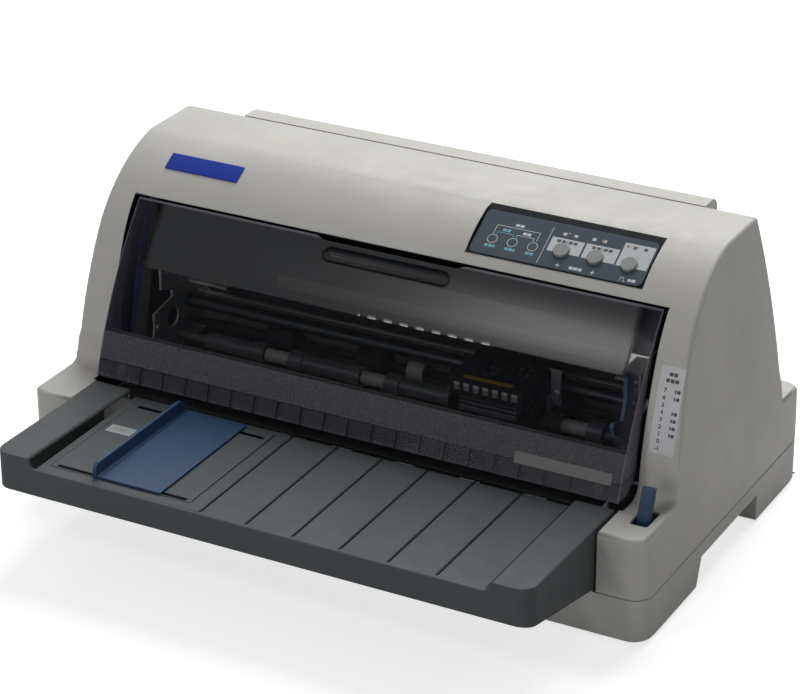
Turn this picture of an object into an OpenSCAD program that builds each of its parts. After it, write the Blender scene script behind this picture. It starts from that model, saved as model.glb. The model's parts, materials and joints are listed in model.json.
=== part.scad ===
// Flatbed dot matrix printer: case, front cover, paper tray and print mechanism.
// Millimetres. X to the right, -Y to the front, +Z up, origin under the middle of the rubber feet.
// Every piece is one module; heights inside the modules count from the bottom edge of the case.

/* [Overall] */
// Width of the case at the parting line
case_w = 480; // [420:1:560]
// Front of the paper tray to the middle of the footprint
tray_front = 184; // [150:1:240]
// Front of the two case feet to the middle of the footprint
foot_front = 89; // [80:1:110]
// Back wall of the case to the middle of the footprint
case_back = 184; // [170:1:230]
// Height of the case above its bottom edge
case_h = 226; // [200:1:260]
// Wall of the moulded case
wall = 2.6; // [1.8:0.1:4]
// Height of the rubber feet
foot_pad_h = 2.5; // [1:0.5:8]

/* [Case] */
// Height of the parting line between the two case halves
parting_z = 31.1; // [26:0.1:40]
// Groove left between the two case halves
parting_gap = 0.5; // [0.2:0.1:1]
// How far each side leans in over the full height
side_lean = 13.5; // [0:0.5:25]
// Height of the top face of the case feet
foot_z = 76.5; // [60:0.5:100]
// Height of the ledge behind the hump
ledge_z = 71.7; // [55:0.1:74]
// Corner radius of the case seen from above
corner_r = 14; // [6:1:25]
// Fillet between the hump and the feet
hump_fillet = 11; // [4:1:20]
// Width of each case foot, from its inner wall to the side of the case
foot_w = 35.3; // [30:0.1:50]
// Back wall of the tray bay, in front of the middle
bay_back = 54; // [48:1:57]
// How far the sides of the window stand outside the inner walls of the feet
window_over = 2.8; // [2:0.1:6]
// Height of the hand grips under the sides
grip_h = 20.5; // [12:0.5:26]
// Front end of the hand grips
grip_y0 = 5; // [-20:1:30]
// Back end of the hand grips
grip_y1 = 102.5; // [80:0.5:130]
// Depth of the hand grips into the case
grip_d = 26; // [18:1:30]
// Diameter of the rubber feet
foot_pad_d = 20; // [12:1:30]

/* [Rear hood] */
// Left end of the hood, inwards from the side of the case
hood_in_left = 48.5; // [30:0.5:90]
// Right end of the hood, inwards from the side of the case
hood_in_right = 38.5; // [30:0.5:90]
// How far the hood stands out behind the top face
hood_out = 22; // [10:1:30]
// Height of the hood
hood_drop = 76; // [60:1:90]
// Radius of the hood's back edge
hood_edge_r = 9; // [4:0.5:12]

/* [Front cover] */
// Gap between the cover and the sides of the window
cover_gap = 3.3; // [2.6:0.1:6]
// Radius of the curved cover
cover_r = 338.2; // [250:1:500]
// Thickness of the cover
cover_t = 2.6; // [1.6:0.1:4]
// Height of the lower edge of the cover
cover_z0 = 80.5; // [78:0.5:90]
// Width of the finger lip in the upper edge
lip_w = 104; // [60:1:160]
// Radius of the finger scoop under the lip
scoop_r = 6.2; // [5:0.1:7]
// Radius of the cover hinge pins
hinge_pin_r = 2; // [1.5:0.1:3]
// Hinge axis in front of the middle
hinge_front = 45.6; // [44:0.1:48]
// Height of the hinge axis
hinge_z = 83.4; // [82:0.1:90]
// Number of guide ribs along the lower edge
rib_count = 19; // [8:1:30]

/* [Paper tray] */
// Gap between the tray and the inner walls of the feet
tray_gap = 1.8; // [1:0.1:4]
// Height of the paper surface
paper_z = 72.5; // [66:0.1:80]
// Height of the side arms at the front
arm_z = 80; // [75:0.5:90]
// Width of the side arms
arm_w = 27.6; // [20:0.1:36]
// Back edge of the tray
tray_back = 58; // [57:0.5:70]
// Height of the tray's front lower edge
tray_low = 52.4; // [45:0.1:60]
// Thickness of the tray
tray_t = 2.5; // [1.8:0.1:4]
// Left edge of the plate under the edge guide, inwards from the side arm
bed_in = 11.3; // [9:0.1:20]
// Width of the plate under the edge guide
bed_w = 111; // [100:1:125]
// Left edge of the edge guide on its plate
guide_in = 35.5; // [20:0.5:45]
// Width of the edge guide
guide_w = 53; // [40:1:60]
// Height of the lip of the edge guide
guide_lip = 11; // [6:0.5:16]
// First groove to the right of the plate under the edge guide
groove_in = 12.4; // [6:0.1:20]
// Spacing of the grooves
groove_gap = 35.2; // [20:0.1:40]

/* [Control panel] */
// Right end of the panel recess, inwards from the side of the case
panel_in = 41.3; // [30:0.1:80]
// Width of the panel recess
panel_w = 131; // [110:1:150]
// Length of the panel recess up the slope
panel_l = 45.4; // [36:0.1:50]
// Thickness of the panel plate
panel_t = 1.2; // [0.8:0.1:2]
// Radius of the buttons
button_r = 5.8; // [4:0.1:7]
// Spacing of the buttons
button_gap = 24.9; // [16:0.1:30]
// Travel of the buttons
button_travel = 1.2; // [0.5:0.1:2]

/* [Badge] */
// Left edge of the bare plate, inwards from the side of the case
badge_in = 33; // [24:0.5:80]
// Length of the bare plate
badge_w = 60; // [30:1:90]

/* [Thickness lever] */
// Middle of the lever, outwards from the inner wall of the foot
lever_in = 19.5; // [16:0.1:22]
// Pivot height of the lever
lever_z = 42; // [38:1:60]
// Length of the slot in the foot
slot_l = 22; // [14:0.5:30]
// Width of the slot in the foot
slot_w = 12.6; // [8:0.1:16]
// Middle of the slot in front of the middle
slot_front = 57.5; // [50:0.5:75]

/* [Mechanism] */
// Inner faces of the side frames, inwards from the ends of the cover
frame_in = 16.2; // [15:0.1:24]
// Thickness of the sheet metal
sheet_t = 2; // [1.2:0.1:3]
// Radius of the lower rollers and the platen
roller_r = 9; // [7:0.5:10]
// Spacing of the lower rollers
roller_gap = 24; // [22:0.5:28]
// Platen axis behind the middle
platen_y = 6; // [0:0.5:12]
// Radius of the roller shafts
shaft_r = 3; // [2:0.5:4]
// Radius of the carriage guide shaft
guide_r = 5; // [4:0.5:6]
// Carriage guide shaft behind the middle
guide_y = 45; // [42:0.5:50]
// Height of the carriage guide shaft
guide_z = 102; // [100:0.5:106]
// Carriage position along the shaft in the photo
carriage_x = 82; // [-120:1:130]
// Teeth of each roller gear
gear_teeth = 18; // [16:1:24]
// Module of the gears
gear_m = 1; // [0.8:0.1:1.2]
// Teeth of the feed motor pinion
pinion_teeth = 12; // [10:1:16]
// Running clearance of a shaft in its bore
run_fit = 0.05; // [0.02:0.01:0.1]

/* [Hidden] */
$fn = 64;
eps = 0.01;

half_w = case_w / 2;
top_half = half_w - side_lean;
bay_half = half_w - foot_w;
window_half = bay_half + window_over;
cover_half = window_half - cover_gap;
frame_x = cover_half - frame_in;
tray_half = bay_half - tray_gap;
arm_x = tray_half - arm_w;
bed_x0 = -arm_x + bed_in;
bed_x1 = bed_x0 + bed_w;
guide_x = bed_x0 + guide_in;
lever_x = bay_half + lever_in;
hood_x0 = -top_half + hood_in_left;
hood_x1 = top_half - hood_in_right;
badge_x = -top_half + badge_in;
panel_x = top_half - panel_in - panel_w / 2;
upper_z = parting_z + parting_gap;
// arcs of the hump, seen from the side: [y, z, radius]
top_arc = [81, case_h - 95.6, 97.7];
front_arc = [273, case_h - 179.5, 307.3];
back_arc = [-409.3, case_h - 214, 563.5];
arc_join = case_h - 56.2;
wall_foot_y = front_arc[0] - sqrt(pow(front_arc[2], 2) - pow(foot_z + hump_fillet - front_arc[1], 2));
// arc of the front cover
cover_low = [-bay_back - 1.8, cover_z0];
cover_top = [9, case_h - 31];
cover_chord = cover_top - cover_low;
cover_rise = sqrt(pow(cover_r, 2) - pow(norm(cover_chord) / 2, 2)) / norm(cover_chord);
cover_c = (cover_low + cover_top) / 2 + cover_rise * [cover_chord[1], -cover_chord[0]];
// finger scoop, a trough sunk into the cover below the lip
scoop_c = [-0.3, cover_top[1] - 8.2];
lip_drop = 2.4;
// panel plane
panel_mid = [35, 213.4 + case_h - 226];
panel_tilt = 29.9;
button_v = -6.5;
light_v = 8.5;
// rollers
roller_z = paper_z - 0.5 - roller_r;
front_y = platen_y - roller_gap;
rear_y = platen_y + roller_gap;
exit_y = platen_y + 2 * roller_gap;
pitch_r = gear_m * gear_teeth / 2;
pinion_r = gear_m * pinion_teeth / 2;
idler_drop = sqrt(pow(2 * pitch_r, 2) - pow(roller_gap / 2, 2));
idler_z = roller_z - idler_drop;
gear_w = 6;
gear_x = -frame_x - sheet_t - 1 - gear_w;
pinion_ang = 228;
pinion_y = platen_y + 1.5 * roller_gap + (pitch_r + pinion_r) * cos(pinion_ang);
pinion_z = idler_z + (pitch_r + pinion_r) * sin(pinion_ang);
motor_r = 14.5;
// upper rollers
pinch_gap = 0.3;
pinch_r = 7.8;
back_r = 9.6;
pinch_z = paper_z + pinch_gap + pinch_r;
back_z = paper_z + pinch_gap + back_r;
// carriage
rail_y = guide_y + 11;
rail_z = guide_z + 2.5;
belt_z = guide_z + 7;
belt_y = guide_y + 17;
pulley_r = 8;
pulley_x = frame_x - 16;
head_half = 27.5;
head_z = 120;
frame_z0 = 18;
frame_y0 = -40;
frame_y1 = 96;
flange_w = 12;
base_x = frame_x - flange_w - 0.2;
base_rim = 12;

// ---- helpers ----
module lift() translate([0, 0, foot_pad_h]) children();
// side view outline, drawn as [y, z], pushed along X
module along_x(x0, x1) translate([x0, 0, 0]) rotate([90, 0, 90]) linear_extrude(x1 - x0) children();
// front view outline, drawn as [x, z], pushed along Y
module along_y(y0, y1) translate([0, y1, 0]) rotate([90, 0, 0]) linear_extrude(y1 - y0) children();
module rod_x(x0, x1, y, z, r) translate([x0, y, z]) rotate([0, 90, 0]) cylinder(h = x1 - x0, r = r);
module box(x0, x1, y0, y1, z0, z1) translate([x0, y0, z0]) cube([x1 - x0, y1 - y0, z1 - z0]);
module disc(c, r) translate([c[0], c[1]]) circle(r = r, $fn = 180);
module mirror_x() { children(); mirror([1, 0, 0]) children(); }
module round_rect(x0, x1, y0, y1, r) {
  translate([x0 + r, y0]) square([x1 - x0 - 2 * r, y1 - y0]);
  translate([x0, y0 + r]) square([x1 - x0, y1 - y0 - 2 * r]);
  for (x = [x0 + r, x1 - r], y = [y0 + r, y1 - r]) translate([x, y]) circle(r = r);
}
module on_panel() translate([panel_x, panel_mid[0], panel_mid[1]]) rotate([panel_tilt, 0, 0]) children();

// ---- case outlines ----
// t is the inset of the outline; an inset one also runs out through the open underside
function base_z(t) = t > 0 ? upper_z - 5 : upper_z;
module hump(t) {
  difference() {
    translate([-60, base_z(t)]) square([260, case_h - t - base_z(t)]);
    translate([-70, 0]) difference() {
      square([top_arc[0] - 0.5 + 70, case_h + 20]);
      translate([70, 0]) disc(front_arc, front_arc[2] - t);
    }
    difference() {
      translate([-70, arc_join]) square([70 + top_arc[0], case_h]);
      disc(top_arc, top_arc[2] - t);
    }
    difference() {
      translate([100, 0]) square([120, case_h + 20]);
      disc(back_arc, back_arc[2] - t);
    }
  }
}
module case_side(t) {
  hump(t);
  translate([-foot_front + t, base_z(t)]) square([foot_front, foot_z - t - base_z(t)]);
  translate([0, base_z(t)]) square([case_back - t, ledge_z - t - base_z(t)]);
  if (t == 0) difference() {
    translate([wall_foot_y - hump_fillet, foot_z - eps]) square([hump_fillet + 2, hump_fillet]);
    translate([wall_foot_y - hump_fillet, foot_z + hump_fillet]) circle(r = hump_fillet);
  }
}
module case_front(t)
  polygon([[-half_w + t, -5], [half_w - t, -5], [half_w - t, parting_z],
    [top_half - t, case_h + 1], [-top_half + t, case_h + 1], [-half_w + t, parting_z]]);
module case_plan(t)
  round_rect(-half_w + t, half_w - t, -foot_front + t, case_back - t, corner_r - t);
module upper_block(t) intersection() {
  along_x(-half_w, half_w) case_side(t);
  along_y(-foot_front - 1, case_back + 1) case_front(t);
  linear_extrude(case_h + 5) case_plan(t);
}
module bay(t) box(-bay_half - t, bay_half + t, -foot_front - 5, -bay_back + t, parting_z - 5, case_h);

module window_cut() {
  along_x(-window_half, window_half)
    polygon([[-bay_back - 1, paper_z - 6.5], [60, paper_z - 6.5], [60, cover_top[1] - 24],
      [cover_top[0], cover_top[1] + 1.5], [-bay_back - 1, cover_top[1] + 36]]);
}
module back_hole(x, w, z0, z1)
  box(x - w / 2 - port_gap, x + w / 2 + port_gap, case_back - 8, case_back + 1, z0 - port_gap, z1 + port_gap);
module panel_floor() intersection() {
  along_x(-half_w, half_w) hump(0);
  on_panel() translate([-panel_w / 2 - 3, -panel_l / 2 - 3, -wall]) cube([panel_w + 6, panel_l + 6, wall]);
}

module upper_case() color("#c6c7c3") lift() difference() {
  union() {
    difference() {
      difference() { upper_block(0); bay(0); }
      difference() { upper_block(wall); bay(wall); }
    }
    panel_floor();
    // screw bosses that stand on the lower case
    for (x = boss_x, k = [0, 1]) translate([x, boss_y[k], upper_z])
      cylinder(h = [foot_z, ledge_z][k] - wall - upper_z + eps, r = 4);
    // rim round the window
    mirror_x() along_x(window_half, window_half + wall) intersection() {
      difference() { hump(0); translate([26, 0]) hump(0); }
      translate([-60, foot_z]) square([160, cover_top[1] - foot_z + 4]);
    }
  }
  window_cut();
  // recess of the control panel and the holes of its buttons and lights
  on_panel() translate([-panel_w / 2, -panel_l / 2, 0]) cube([panel_w, panel_l, 20]);
  on_panel() for (i = [0 : 2]) {
    translate([button_gap * i, button_v, -20]) cylinder(h = 40, r = button_r + 0.3);
    translate([button_gap * i, light_v, -20]) cylinder(h = 40, r = 1.3);
  }
  // slot of the thickness lever
  translate([0, 0, foot_z - 6]) linear_extrude(12)
    round_rect(lever_x - slot_w / 2, lever_x + slot_w / 2, -slot_front - slot_l / 2,
      -slot_front + slot_l / 2, 2);
  // opening under the hood and paper slot over the ledge
  box(hood_x0 + 6, hood_x1 - 6, 100, 150, case_h - 50, case_h - 14);
  box(-arm_x, arm_x, 120, 170, ledge_z + 1, ledge_z + 13);
  // openings of the sockets and the switch in the back wall
  back_hole(inlet_x, inlet_w, inlet_z0, inlet_z1);
  back_hole(switch_x, switch_w + 0.4, switch_z - 10.55, switch_z + 10.55);
  back_hole(parallel_x, parallel_w, 44.2, 59.8);
  back_hole(usb_x, usb_w, 45.3, 58.7);
  // air slots in the ledge's back wall
  for (i = [0 : 8]) box(-130 + i * 14, -122 + i * 14, case_back - 8, case_back + 1, 42, 62);
}

// floor pan with grips, ribs and bosses
module pan_plan(t, z0, z1) translate([0, 0, z0]) linear_extrude(z1 - z0) case_plan(t);
module grip_cut(t) mirror_x() along_x(half_w - grip_d - t, half_w + 5)
  polygon([[grip_y0 - 8 - t, -5], [grip_y0 - 8 - t, 0], [grip_y0 - t, grip_h + t],
    [grip_y1 + t, grip_h + t], [grip_y1 + t, -5]]);
module lower_case() color("#b9bab6") lift() {
  difference() {
    difference() { pan_plan(0, 0, parting_z); grip_cut(0); }
    difference() { pan_plan(wall, wall, parting_z + 1); grip_cut(wall); }
    // air slots and the recesses of the rubber feet
    for (i = [0 : 15]) box(-120 + i * 16, -112 + i * 16, 110, 160, -1, wall + 1);
    pad_places() cylinder(h = 2, r = foot_pad_d / 2 + 0.1, center = true);
  }
  // posts that carry the upper case and the frame
  boss_places() translate([0, 0, wall - eps]) cylinder(h = upper_z - wall + eps, r = 5);
  for (x = [-frame_x + 14, frame_x - 14], y = [-38, 70])
    translate([x, y, wall - eps]) cylinder(h = frame_z0 - wall + eps, r = 6);
  for (y = [-60, 86]) box(-150, 150, y, y + 2, wall - eps, 14);
}
boss_x = [-half_w + 13, half_w - 13];
boss_y = [-foot_front + 12, case_back - 16];
module boss_places() for (x = boss_x, y = boss_y) translate([x, y, 0]) children();
module pad_places() for (x = [-half_w + 25, half_w - 25], y = [-foot_front + 22, case_back - 24])
  translate([x, y, 0]) children();
module rubber_feet() color("#2c2d30")
  pad_places() {
    cylinder(h = foot_pad_h + 1, r = foot_pad_d / 2 - 1);
    cylinder(h = foot_pad_h - 0.6, r = foot_pad_d / 2);
  }

// hood over the back edge of the top face
module hood_side(t) difference() {
  union() {
    polygon([[104, case_h - t], [top_back + hood_out - hood_edge_r, case_h - t],
      [top_back + hood_out - hood_edge_r, case_h - hood_edge_r],
      [top_back + hood_out - t, case_h - hood_edge_r],
      [hood_foot_y - t, case_h - hood_drop], [104, case_h - hood_drop]]);
    translate([top_back + hood_out - hood_edge_r, case_h - hood_edge_r]) circle(r = hood_edge_r - t);
  }
  disc([back_arc[0], back_arc[1]], back_arc[2] + (t == 0 ? 0.02 : -20));
}
top_back = back_arc[0] + sqrt(pow(back_arc[2], 2) - pow(case_h - back_arc[1], 2));
hood_foot_y = back_arc[0] + sqrt(pow(back_arc[2], 2) - pow(case_h - hood_drop - back_arc[1], 2)) + 9;
module rear_hood() color("#c6c7c3") lift() difference() {
  along_x(hood_x0, hood_x1) hood_side(0);
  along_x(hood_x0 + wall, hood_x1 - wall) hood_side(wall);
}

module badge_plate() color("#2d4a93") lift() intersection() {
  along_x(badge_x, badge_x + badge_w) difference() {
    disc(top_arc, top_arc[2] + 1);
    disc(top_arc, top_arc[2] + 0.02);
  }
  box(-half_w, half_w, 26.8, 39, case_h - 20, case_h + 2);
}

module panel_plate() color("#465056") lift() on_panel() difference() {
  linear_extrude(panel_t)
    round_rect(-panel_w / 2 + 1.5, panel_w / 2 - 1.5, -panel_l / 2 + 1.2, panel_l / 2 - 7, 4);
  for (i = [0 : 2]) {
    translate([button_gap * i, button_v, -1]) cylinder(h = 5, r = button_r + 0.3);
    translate([button_gap * i, light_v, -1]) cylinder(h = 5, r = 1.1);
  }
}
module panel_lights() color("#8fd08a") lift() on_panel() {
  for (i = [0 : 2]) translate([button_gap * i, light_v, -wall - eps]) cylinder(h = wall + panel_t + 0.2, r = 1);
  translate([-4, light_v - 2, -wall - 1.6]) cube([2 * button_gap + 8, 4, 1.6]);
}
module button_cap(i) color("#8a9094") lift() on_panel()
  translate([button_gap * i, button_v, 0]) {
    translate([0, 0, -wall - 1.5]) cylinder(h = wall + 1.5 + panel_t + 2.1, r = button_r);
    translate([0, 0, -wall - 1.5]) cylinder(h = 1.35, r = button_r + 1.4);
    translate([0, 0, -wall - 5]) cylinder(h = 4, r = 1.6);
  }
module button_pause() button_cap(0);
module button_load() button_cap(1);
module button_feed() button_cap(2);

// ---- front cover ----
module cover_band(t0, t1) intersection() {
  difference() { disc(cover_c, cover_r - t0); disc(cover_c, cover_r - t1); }
  polygon([[-90, cover_z0], [-30, cover_z0], cover_top, [cover_top[0] - 40, cover_top[1] + 20],
    [-90, cover_top[1]]]);
}
module scoop(r) {
  x = lip_w / 2 - 2 - scoop_r;
  rod_x(-x, x, scoop_c[0], scoop_c[1], r);
  for (s = [-x, x]) translate([s, scoop_c[0], scoop_c[1]]) sphere(r = r);
}
module front_cover() color([0.28, 0.27, 0.32, 0.6]) lift() {
  difference() {
    union() {
      along_x(-cover_half, cover_half) cover_band(0, cover_t);
      // side flanges that close the gap to the case
      mirror_x() along_x(cover_half - 2.4, cover_half) intersection() {
        disc(cover_c, cover_r);
        difference() { translate([-90, 0]) square([160, 260]); hump(3); }
        polygon([[-90, cover_z0], [-40, cover_z0], [-26, foot_z + 16], [30, foot_z + 16],
          cover_top, [cover_top[0] - 40, cover_top[1] + 20], [-90, cover_top[1]]]);
      }
      // wall of the finger scoop
      difference() {
        scoop(scoop_r + cover_t - 0.4);
        along_x(-lip_w, lip_w) difference() {
          translate([-90, cover_z0]) square([160, 150]);
          disc(cover_c, cover_r - 1);
        }
      }
      // stiffening beads on the inside
      along_x(-cover_half + 2, cover_half - 2) intersection() {
        cover_band(cover_t - eps, cover_t + 2);
        union() { translate([-90, 110.5]) square([90, 2]); translate([-90, 154]) square([90, 2]); }
      }
      // guide ribs along the lower edge
      for (i = [0 : rib_count - 1])
        translate([-rib_half + i * 2 * rib_half / (rib_count - 1) - 0.6, 0, 0])
          along_x(0, 1.2) intersection() {
            cover_band(cover_t - eps, cover_t + 3.4);
            translate([-90, cover_z0]) square([90, 12]);
          }
      // toothed tear-off edge
      for (i = [0 : 59]) translate([-rib_half + 1 + i * (2 * rib_half - 2) / 59, 0, 0])
        along_x(-1.1, 1.1) intersection() {
          cover_band(cover_t - eps, cover_t + 1.2);
          translate([-90, cover_z0]) square([90, 2]);
        }
      // latch combs inside the upper corners
      mirror_x() for (k = [0 : 2]) along_x(cover_half - 28, cover_half - 15) intersection() {
        cover_band(cover_t - eps, cover_t + 3);
        translate([-90, 159 + k * 4.4]) square([120, 1.5]);
      }
      mirror_x() along_x(cover_half - 17.4, cover_half - 15.6) intersection() {
        cover_band(cover_t - eps, cover_t + 3);
        translate([-90, 157]) square([120, 14.5]);
      }
    }
    // finger lip: the upper edge dips over a scoop
    along_y(-60, 60) polygon([[-lip_w / 2 - 7, cover_top[1] + 0.3], [-lip_w / 2, cover_top[1] - lip_drop],
      [lip_w / 2, cover_top[1] - lip_drop], [lip_w / 2 + 7, cover_top[1] + 0.3],
      [lip_w / 2 + 7, cover_top[1] + 40], [-lip_w / 2 - 7, cover_top[1] + 40]]);
    scoop(scoop_r);
  }
  mirror_x() cover_ear();
}
rib_half = cover_half - 36;
ear_x = frame_x + sheet_t + 2;
module cover_ear() {
  along_x(ear_x, ear_x + 3) difference() {
    intersection() {
      disc(cover_c, cover_r - cover_t + 0.4);
      union() {
        translate([-hinge_front, hinge_z]) circle(r = 5);
        translate([-90, hinge_z - 2.5]) square([90 - hinge_front, 16]);
      }
    }
    translate([-90, hinge_z + 8]) square([60, 10]);
  }
  rod_x(frame_x - 5, ear_x + eps, -hinge_front, hinge_z, hinge_pin_r);
}
module hinge_bushes() color("#e8e8ea") lift() mirror_x() difference() {
  union() {
    rod_x(frame_x - 4, frame_x + sheet_t + 1, -hinge_front, hinge_z, hinge_pin_r + 1.8);
    rod_x(frame_x - 4, frame_x, -hinge_front, hinge_z, hinge_pin_r + 3);
  }
  rod_x(frame_x - 8, frame_x + 8, -hinge_front, hinge_z, hinge_pin_r + run_fit);
}

// ---- paper tray ----
module tray_side(t) difference() {
  polygon([[-tray_front + t, tray_low - (t > 0 ? 20 : 0)], [-tray_front + t, arm_z - t],
    [-tray_back, arm_z - 2.3 - t], [-tray_back, upper_z + (t > 0 ? -20 : 0)],
    [-foot_front + 4, upper_z + (t > 0 ? -20 : 0)]]);
}
module tray_plan(t) round_rect(-tray_half + t, tray_half - t, -tray_front + t, -tray_back + 20, 11 - t);
module tray_block(t) intersection() {
  along_x(-tray_half + t, tray_half - t) tray_side(t);
  linear_extrude(120) tray_plan(t);
}
module tray_well(d) along_y(-tray_front - 5, -tray_back + 5)
  polygon([[-arm_x + 3.7 + d, paper_z - d], [arm_x - 3.7 - d, paper_z - d],
    [arm_x + 4, arm_z + 5], [-arm_x - 4, arm_z + 5]]);
module front_tray() color("#5c6162") lift() difference() {
  union() {
    difference() {
      tray_block(0);
      difference() { translate([0, 0, -eps]) tray_block(tray_t); tray_well(tray_t); }
    }
    // lugs that meet the back wall of the bay
    mirror_x() box(tray_half - tray_t, tray_half, -tray_back - 8, -bay_back, upper_z + 3, upper_z + 26);
    // ribs under the paper surface
    for (x = [-40, 40, 120]) intersection() {
      box(x - 1, x + 1, -tray_front + 1, -tray_back, 20, paper_z - 1);
      tray_block(0);
      along_x(-200, 200) polygon([[-tray_front, tray_low + 3], [-foot_front, upper_z + 12],
        [-tray_back, upper_z + 12], [-tray_back, 90], [-tray_front, 90]]);
    }
  }
  tray_well(0);
  // seat of the plate under the edge guide
  box(bed_x0 - 0.2, bed_x1 + 0.2, -tray_front + 11, -tray_back - 3, paper_z - 1.6, 90);
  box(bed_x0 + 3, bed_x1 - 3, -tray_front + 12.5, -tray_back - 5, 60, 90);
  for (x = [bed_x1 + groove_in : groove_gap : arm_x - 20])
    box(x - 0.5, x + 0.5, -tray_front + 4, -tray_back + 1, paper_z - 0.7, 90);
}
bed_y0 = -tray_front + 11.2;
bed_y1 = -tray_back - 3.2;
lip_back_r = 9;
module guide_bed() color("#64696a") lift() difference() {
  box(bed_x0, bed_x1, bed_y0, bed_y1, paper_z - 1.6, paper_z);
  box(bed_x0 + 4, bed_x1 - 4, bed_y0 + 1.4, bed_y0 + 4.4, 60, 90);
  box(bed_x0 + 4, bed_x1 - 4, bed_y1 - 11, bed_y1 - 7, 60, 90);
}
module edge_guide() color("#2f5078") lift() {
  translate([guide_x, bed_y0 - 1, paper_z + 0.2]) cube([guide_w, bed_y1 - bed_y0 + 0.6, 1.8]);
  along_x(guide_x, guide_x + 3) difference() {
    translate([bed_y0 - 2, paper_z + 0.2]) square([bed_y1 - bed_y0 + 1.6, guide_lip]);
    difference() {
      translate([bed_y0 - 2.1, paper_z + guide_lip - 5.8]) square([6, 7]);
      translate([bed_y0 + 4, paper_z + guide_lip - 5.8]) circle(r = 6);
    }
    // the back corner leaves room for the cover when it lies open
    difference() {
      translate([bed_y1 - 0.4 - lip_back_r, paper_z + 0.2 + guide_lip - lip_back_r])
        square([lip_back_r + 1, lip_back_r + 1]);
      translate([bed_y1 - 0.4 - lip_back_r, paper_z + 0.2 + guide_lip - lip_back_r]) circle(r = lip_back_r);
    }
  }
  // hooks through the slots of the bed
  for (s = [[bed_y0 + 2, 1.8, 1], [bed_y1 - 10, 2, -1]])
    translate([guide_x + 12, s[0], paper_z - 5]) {
      cube([guide_w - 24, s[1], 5.4]);
      translate([0, s[2] > 0 ? 0 : -2.6, 0]) cube([guide_w - 24, s[1] + 2.6, 1.8]);
    }
}

// ---- thickness lever ----
lever_t = 9;
lever_pin_r = 2;
module thickness_lever() color("#2f5078") lift() difference() {
  along_x(lever_x - lever_t / 2, lever_x + lever_t / 2) difference() {
    union() {
      translate([-slot_front, lever_z]) circle(r = 6);
      polygon([[-slot_front - 3.6, lever_z], [-slot_front + 3.6, lever_z],
        [-slot_front + 3.2, foot_z + 4], [-slot_front + 8.6, foot_z + 19.2],
        [-slot_front + 4.4, foot_z + 20.4], [-slot_front - 3.2, foot_z + 3]]);
    }
    translate([-slot_front, lever_z]) circle(r = lever_pin_r + run_fit);
  }
}
module lever_bracket() color("#9a9ca0") lift() {
  rod_x(lever_x - 8, lever_x + 8, -slot_front, lever_z, lever_pin_r);
  for (s = [-1, 1]) along_x(lever_x + s * 7 - 1, lever_x + s * 7 + 1)
    difference() {
      union() {
        translate([-slot_front - 7, 14]) square([14, lever_z - 14]);
        translate([-slot_front, lever_z]) circle(r = 7);
      }
      translate([-slot_front, lever_z]) circle(r = lever_pin_r - eps);
    }
  box(lever_x - 8, lever_x + 8, -slot_front - 7, -slot_front + 7, 12.5, 14.5);
  for (y = [-5, 5]) translate([lever_x, -slot_front + y, wall]) cylinder(h = 10, r = 2.4);
}

// ---- frames ----
// the lobe round the bush and its neck stay out of the way of the cover's lower edge as it opens
lobe_r = hinge_pin_r + 3;
arm_y = -hinge_front + 6.6;
module side_outline() difference() {
  union() {
    polygon([[arm_y, hinge_z - 3.4], [-6, hinge_z - 2], [-2.8, 99], [-2.8, 109.6], [22, 114.2],
      [22, 119.5], [7.8, 124.6], [7.8, 145], [30, 150], [78, 150], [frame_y1 + 4, 124],
      [frame_y1 + 4, frame_z0], [arm_y, frame_z0]]);
    polygon([[arm_y - 1, hinge_z - 3.4], [-hinge_front, hinge_z - 3.4], [-hinge_front, hinge_z + lobe_r],
      [arm_y + 6, hinge_z + lobe_r], [arm_y + 12, hinge_z - 3], [arm_y + 12, hinge_z - 8]]);
    translate([-hinge_front, hinge_z]) circle(r = lobe_r);
  }
  translate([-hinge_front, hinge_z]) circle(r = hinge_pin_r + 1.82);
  for (y = [front_y, platen_y, rear_y, exit_y]) translate([y, roller_z]) circle(r = shaft_r + run_fit);
  for (y = [front_y, rear_y]) translate([y, pinch_z]) circle(r = shaft_r + run_fit);
  translate([exit_y, back_z]) circle(r = shaft_r + run_fit);
  translate([guide_y, guide_z]) circle(r = guide_r + 0.02);
  // lightening holes
  translate([22, 98]) circle(r = 7.5);
  translate([82, 60]) circle(r = 11);
  translate([44, 132]) circle(r = 11);
  translate([82, 122]) circle(r = 8);
}
module side_plate(s) mirror([s < 0 ? 1 : 0, 0, 0]) {
  along_x(frame_x, frame_x + sheet_t) difference() {
    side_outline();
    if (s < 0) translate([pinion_y, pinion_z]) circle(r = 5);
  }
  // foot flange and the shelf of the belt pulley
  box(frame_x - flange_w, frame_x + eps, frame_y0, frame_y1, frame_z0, frame_z0 + sheet_t);
  difference() {
    box(frame_x - 33, frame_x + eps, belt_y - 18, belt_y + 18, belt_z + 8, belt_z + 8 + sheet_t);
    translate([pulley_x, belt_y, belt_z]) cylinder(h = 20, r = s < 0 ? 5 : 2 - eps);
  }
  if (s > 0) translate([pulley_x, belt_y, belt_z - 1]) cylinder(h = 9 + sheet_t, r = 2);
}
module side_frame_left() color("#a9acae") lift() {
  side_plate(-1);
  // pins of the idler gears
  for (i = [0 : 2]) rod_x(gear_x - 1, -frame_x - eps, idler_y(i), idler_z, idler_pin_r);
}
idler_pin_r = 2;
function idler_y(i) = platen_y + (i - 0.5) * roller_gap;
module side_frame_right() color("#a9acae") lift() {
  side_plate(1);
  rod_x(frame_x - 7, frame_x + eps, release_y, release_z, release_pin_r);
}
release_y = 4;
release_z = 93;
release_pin_r = 2;
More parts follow.
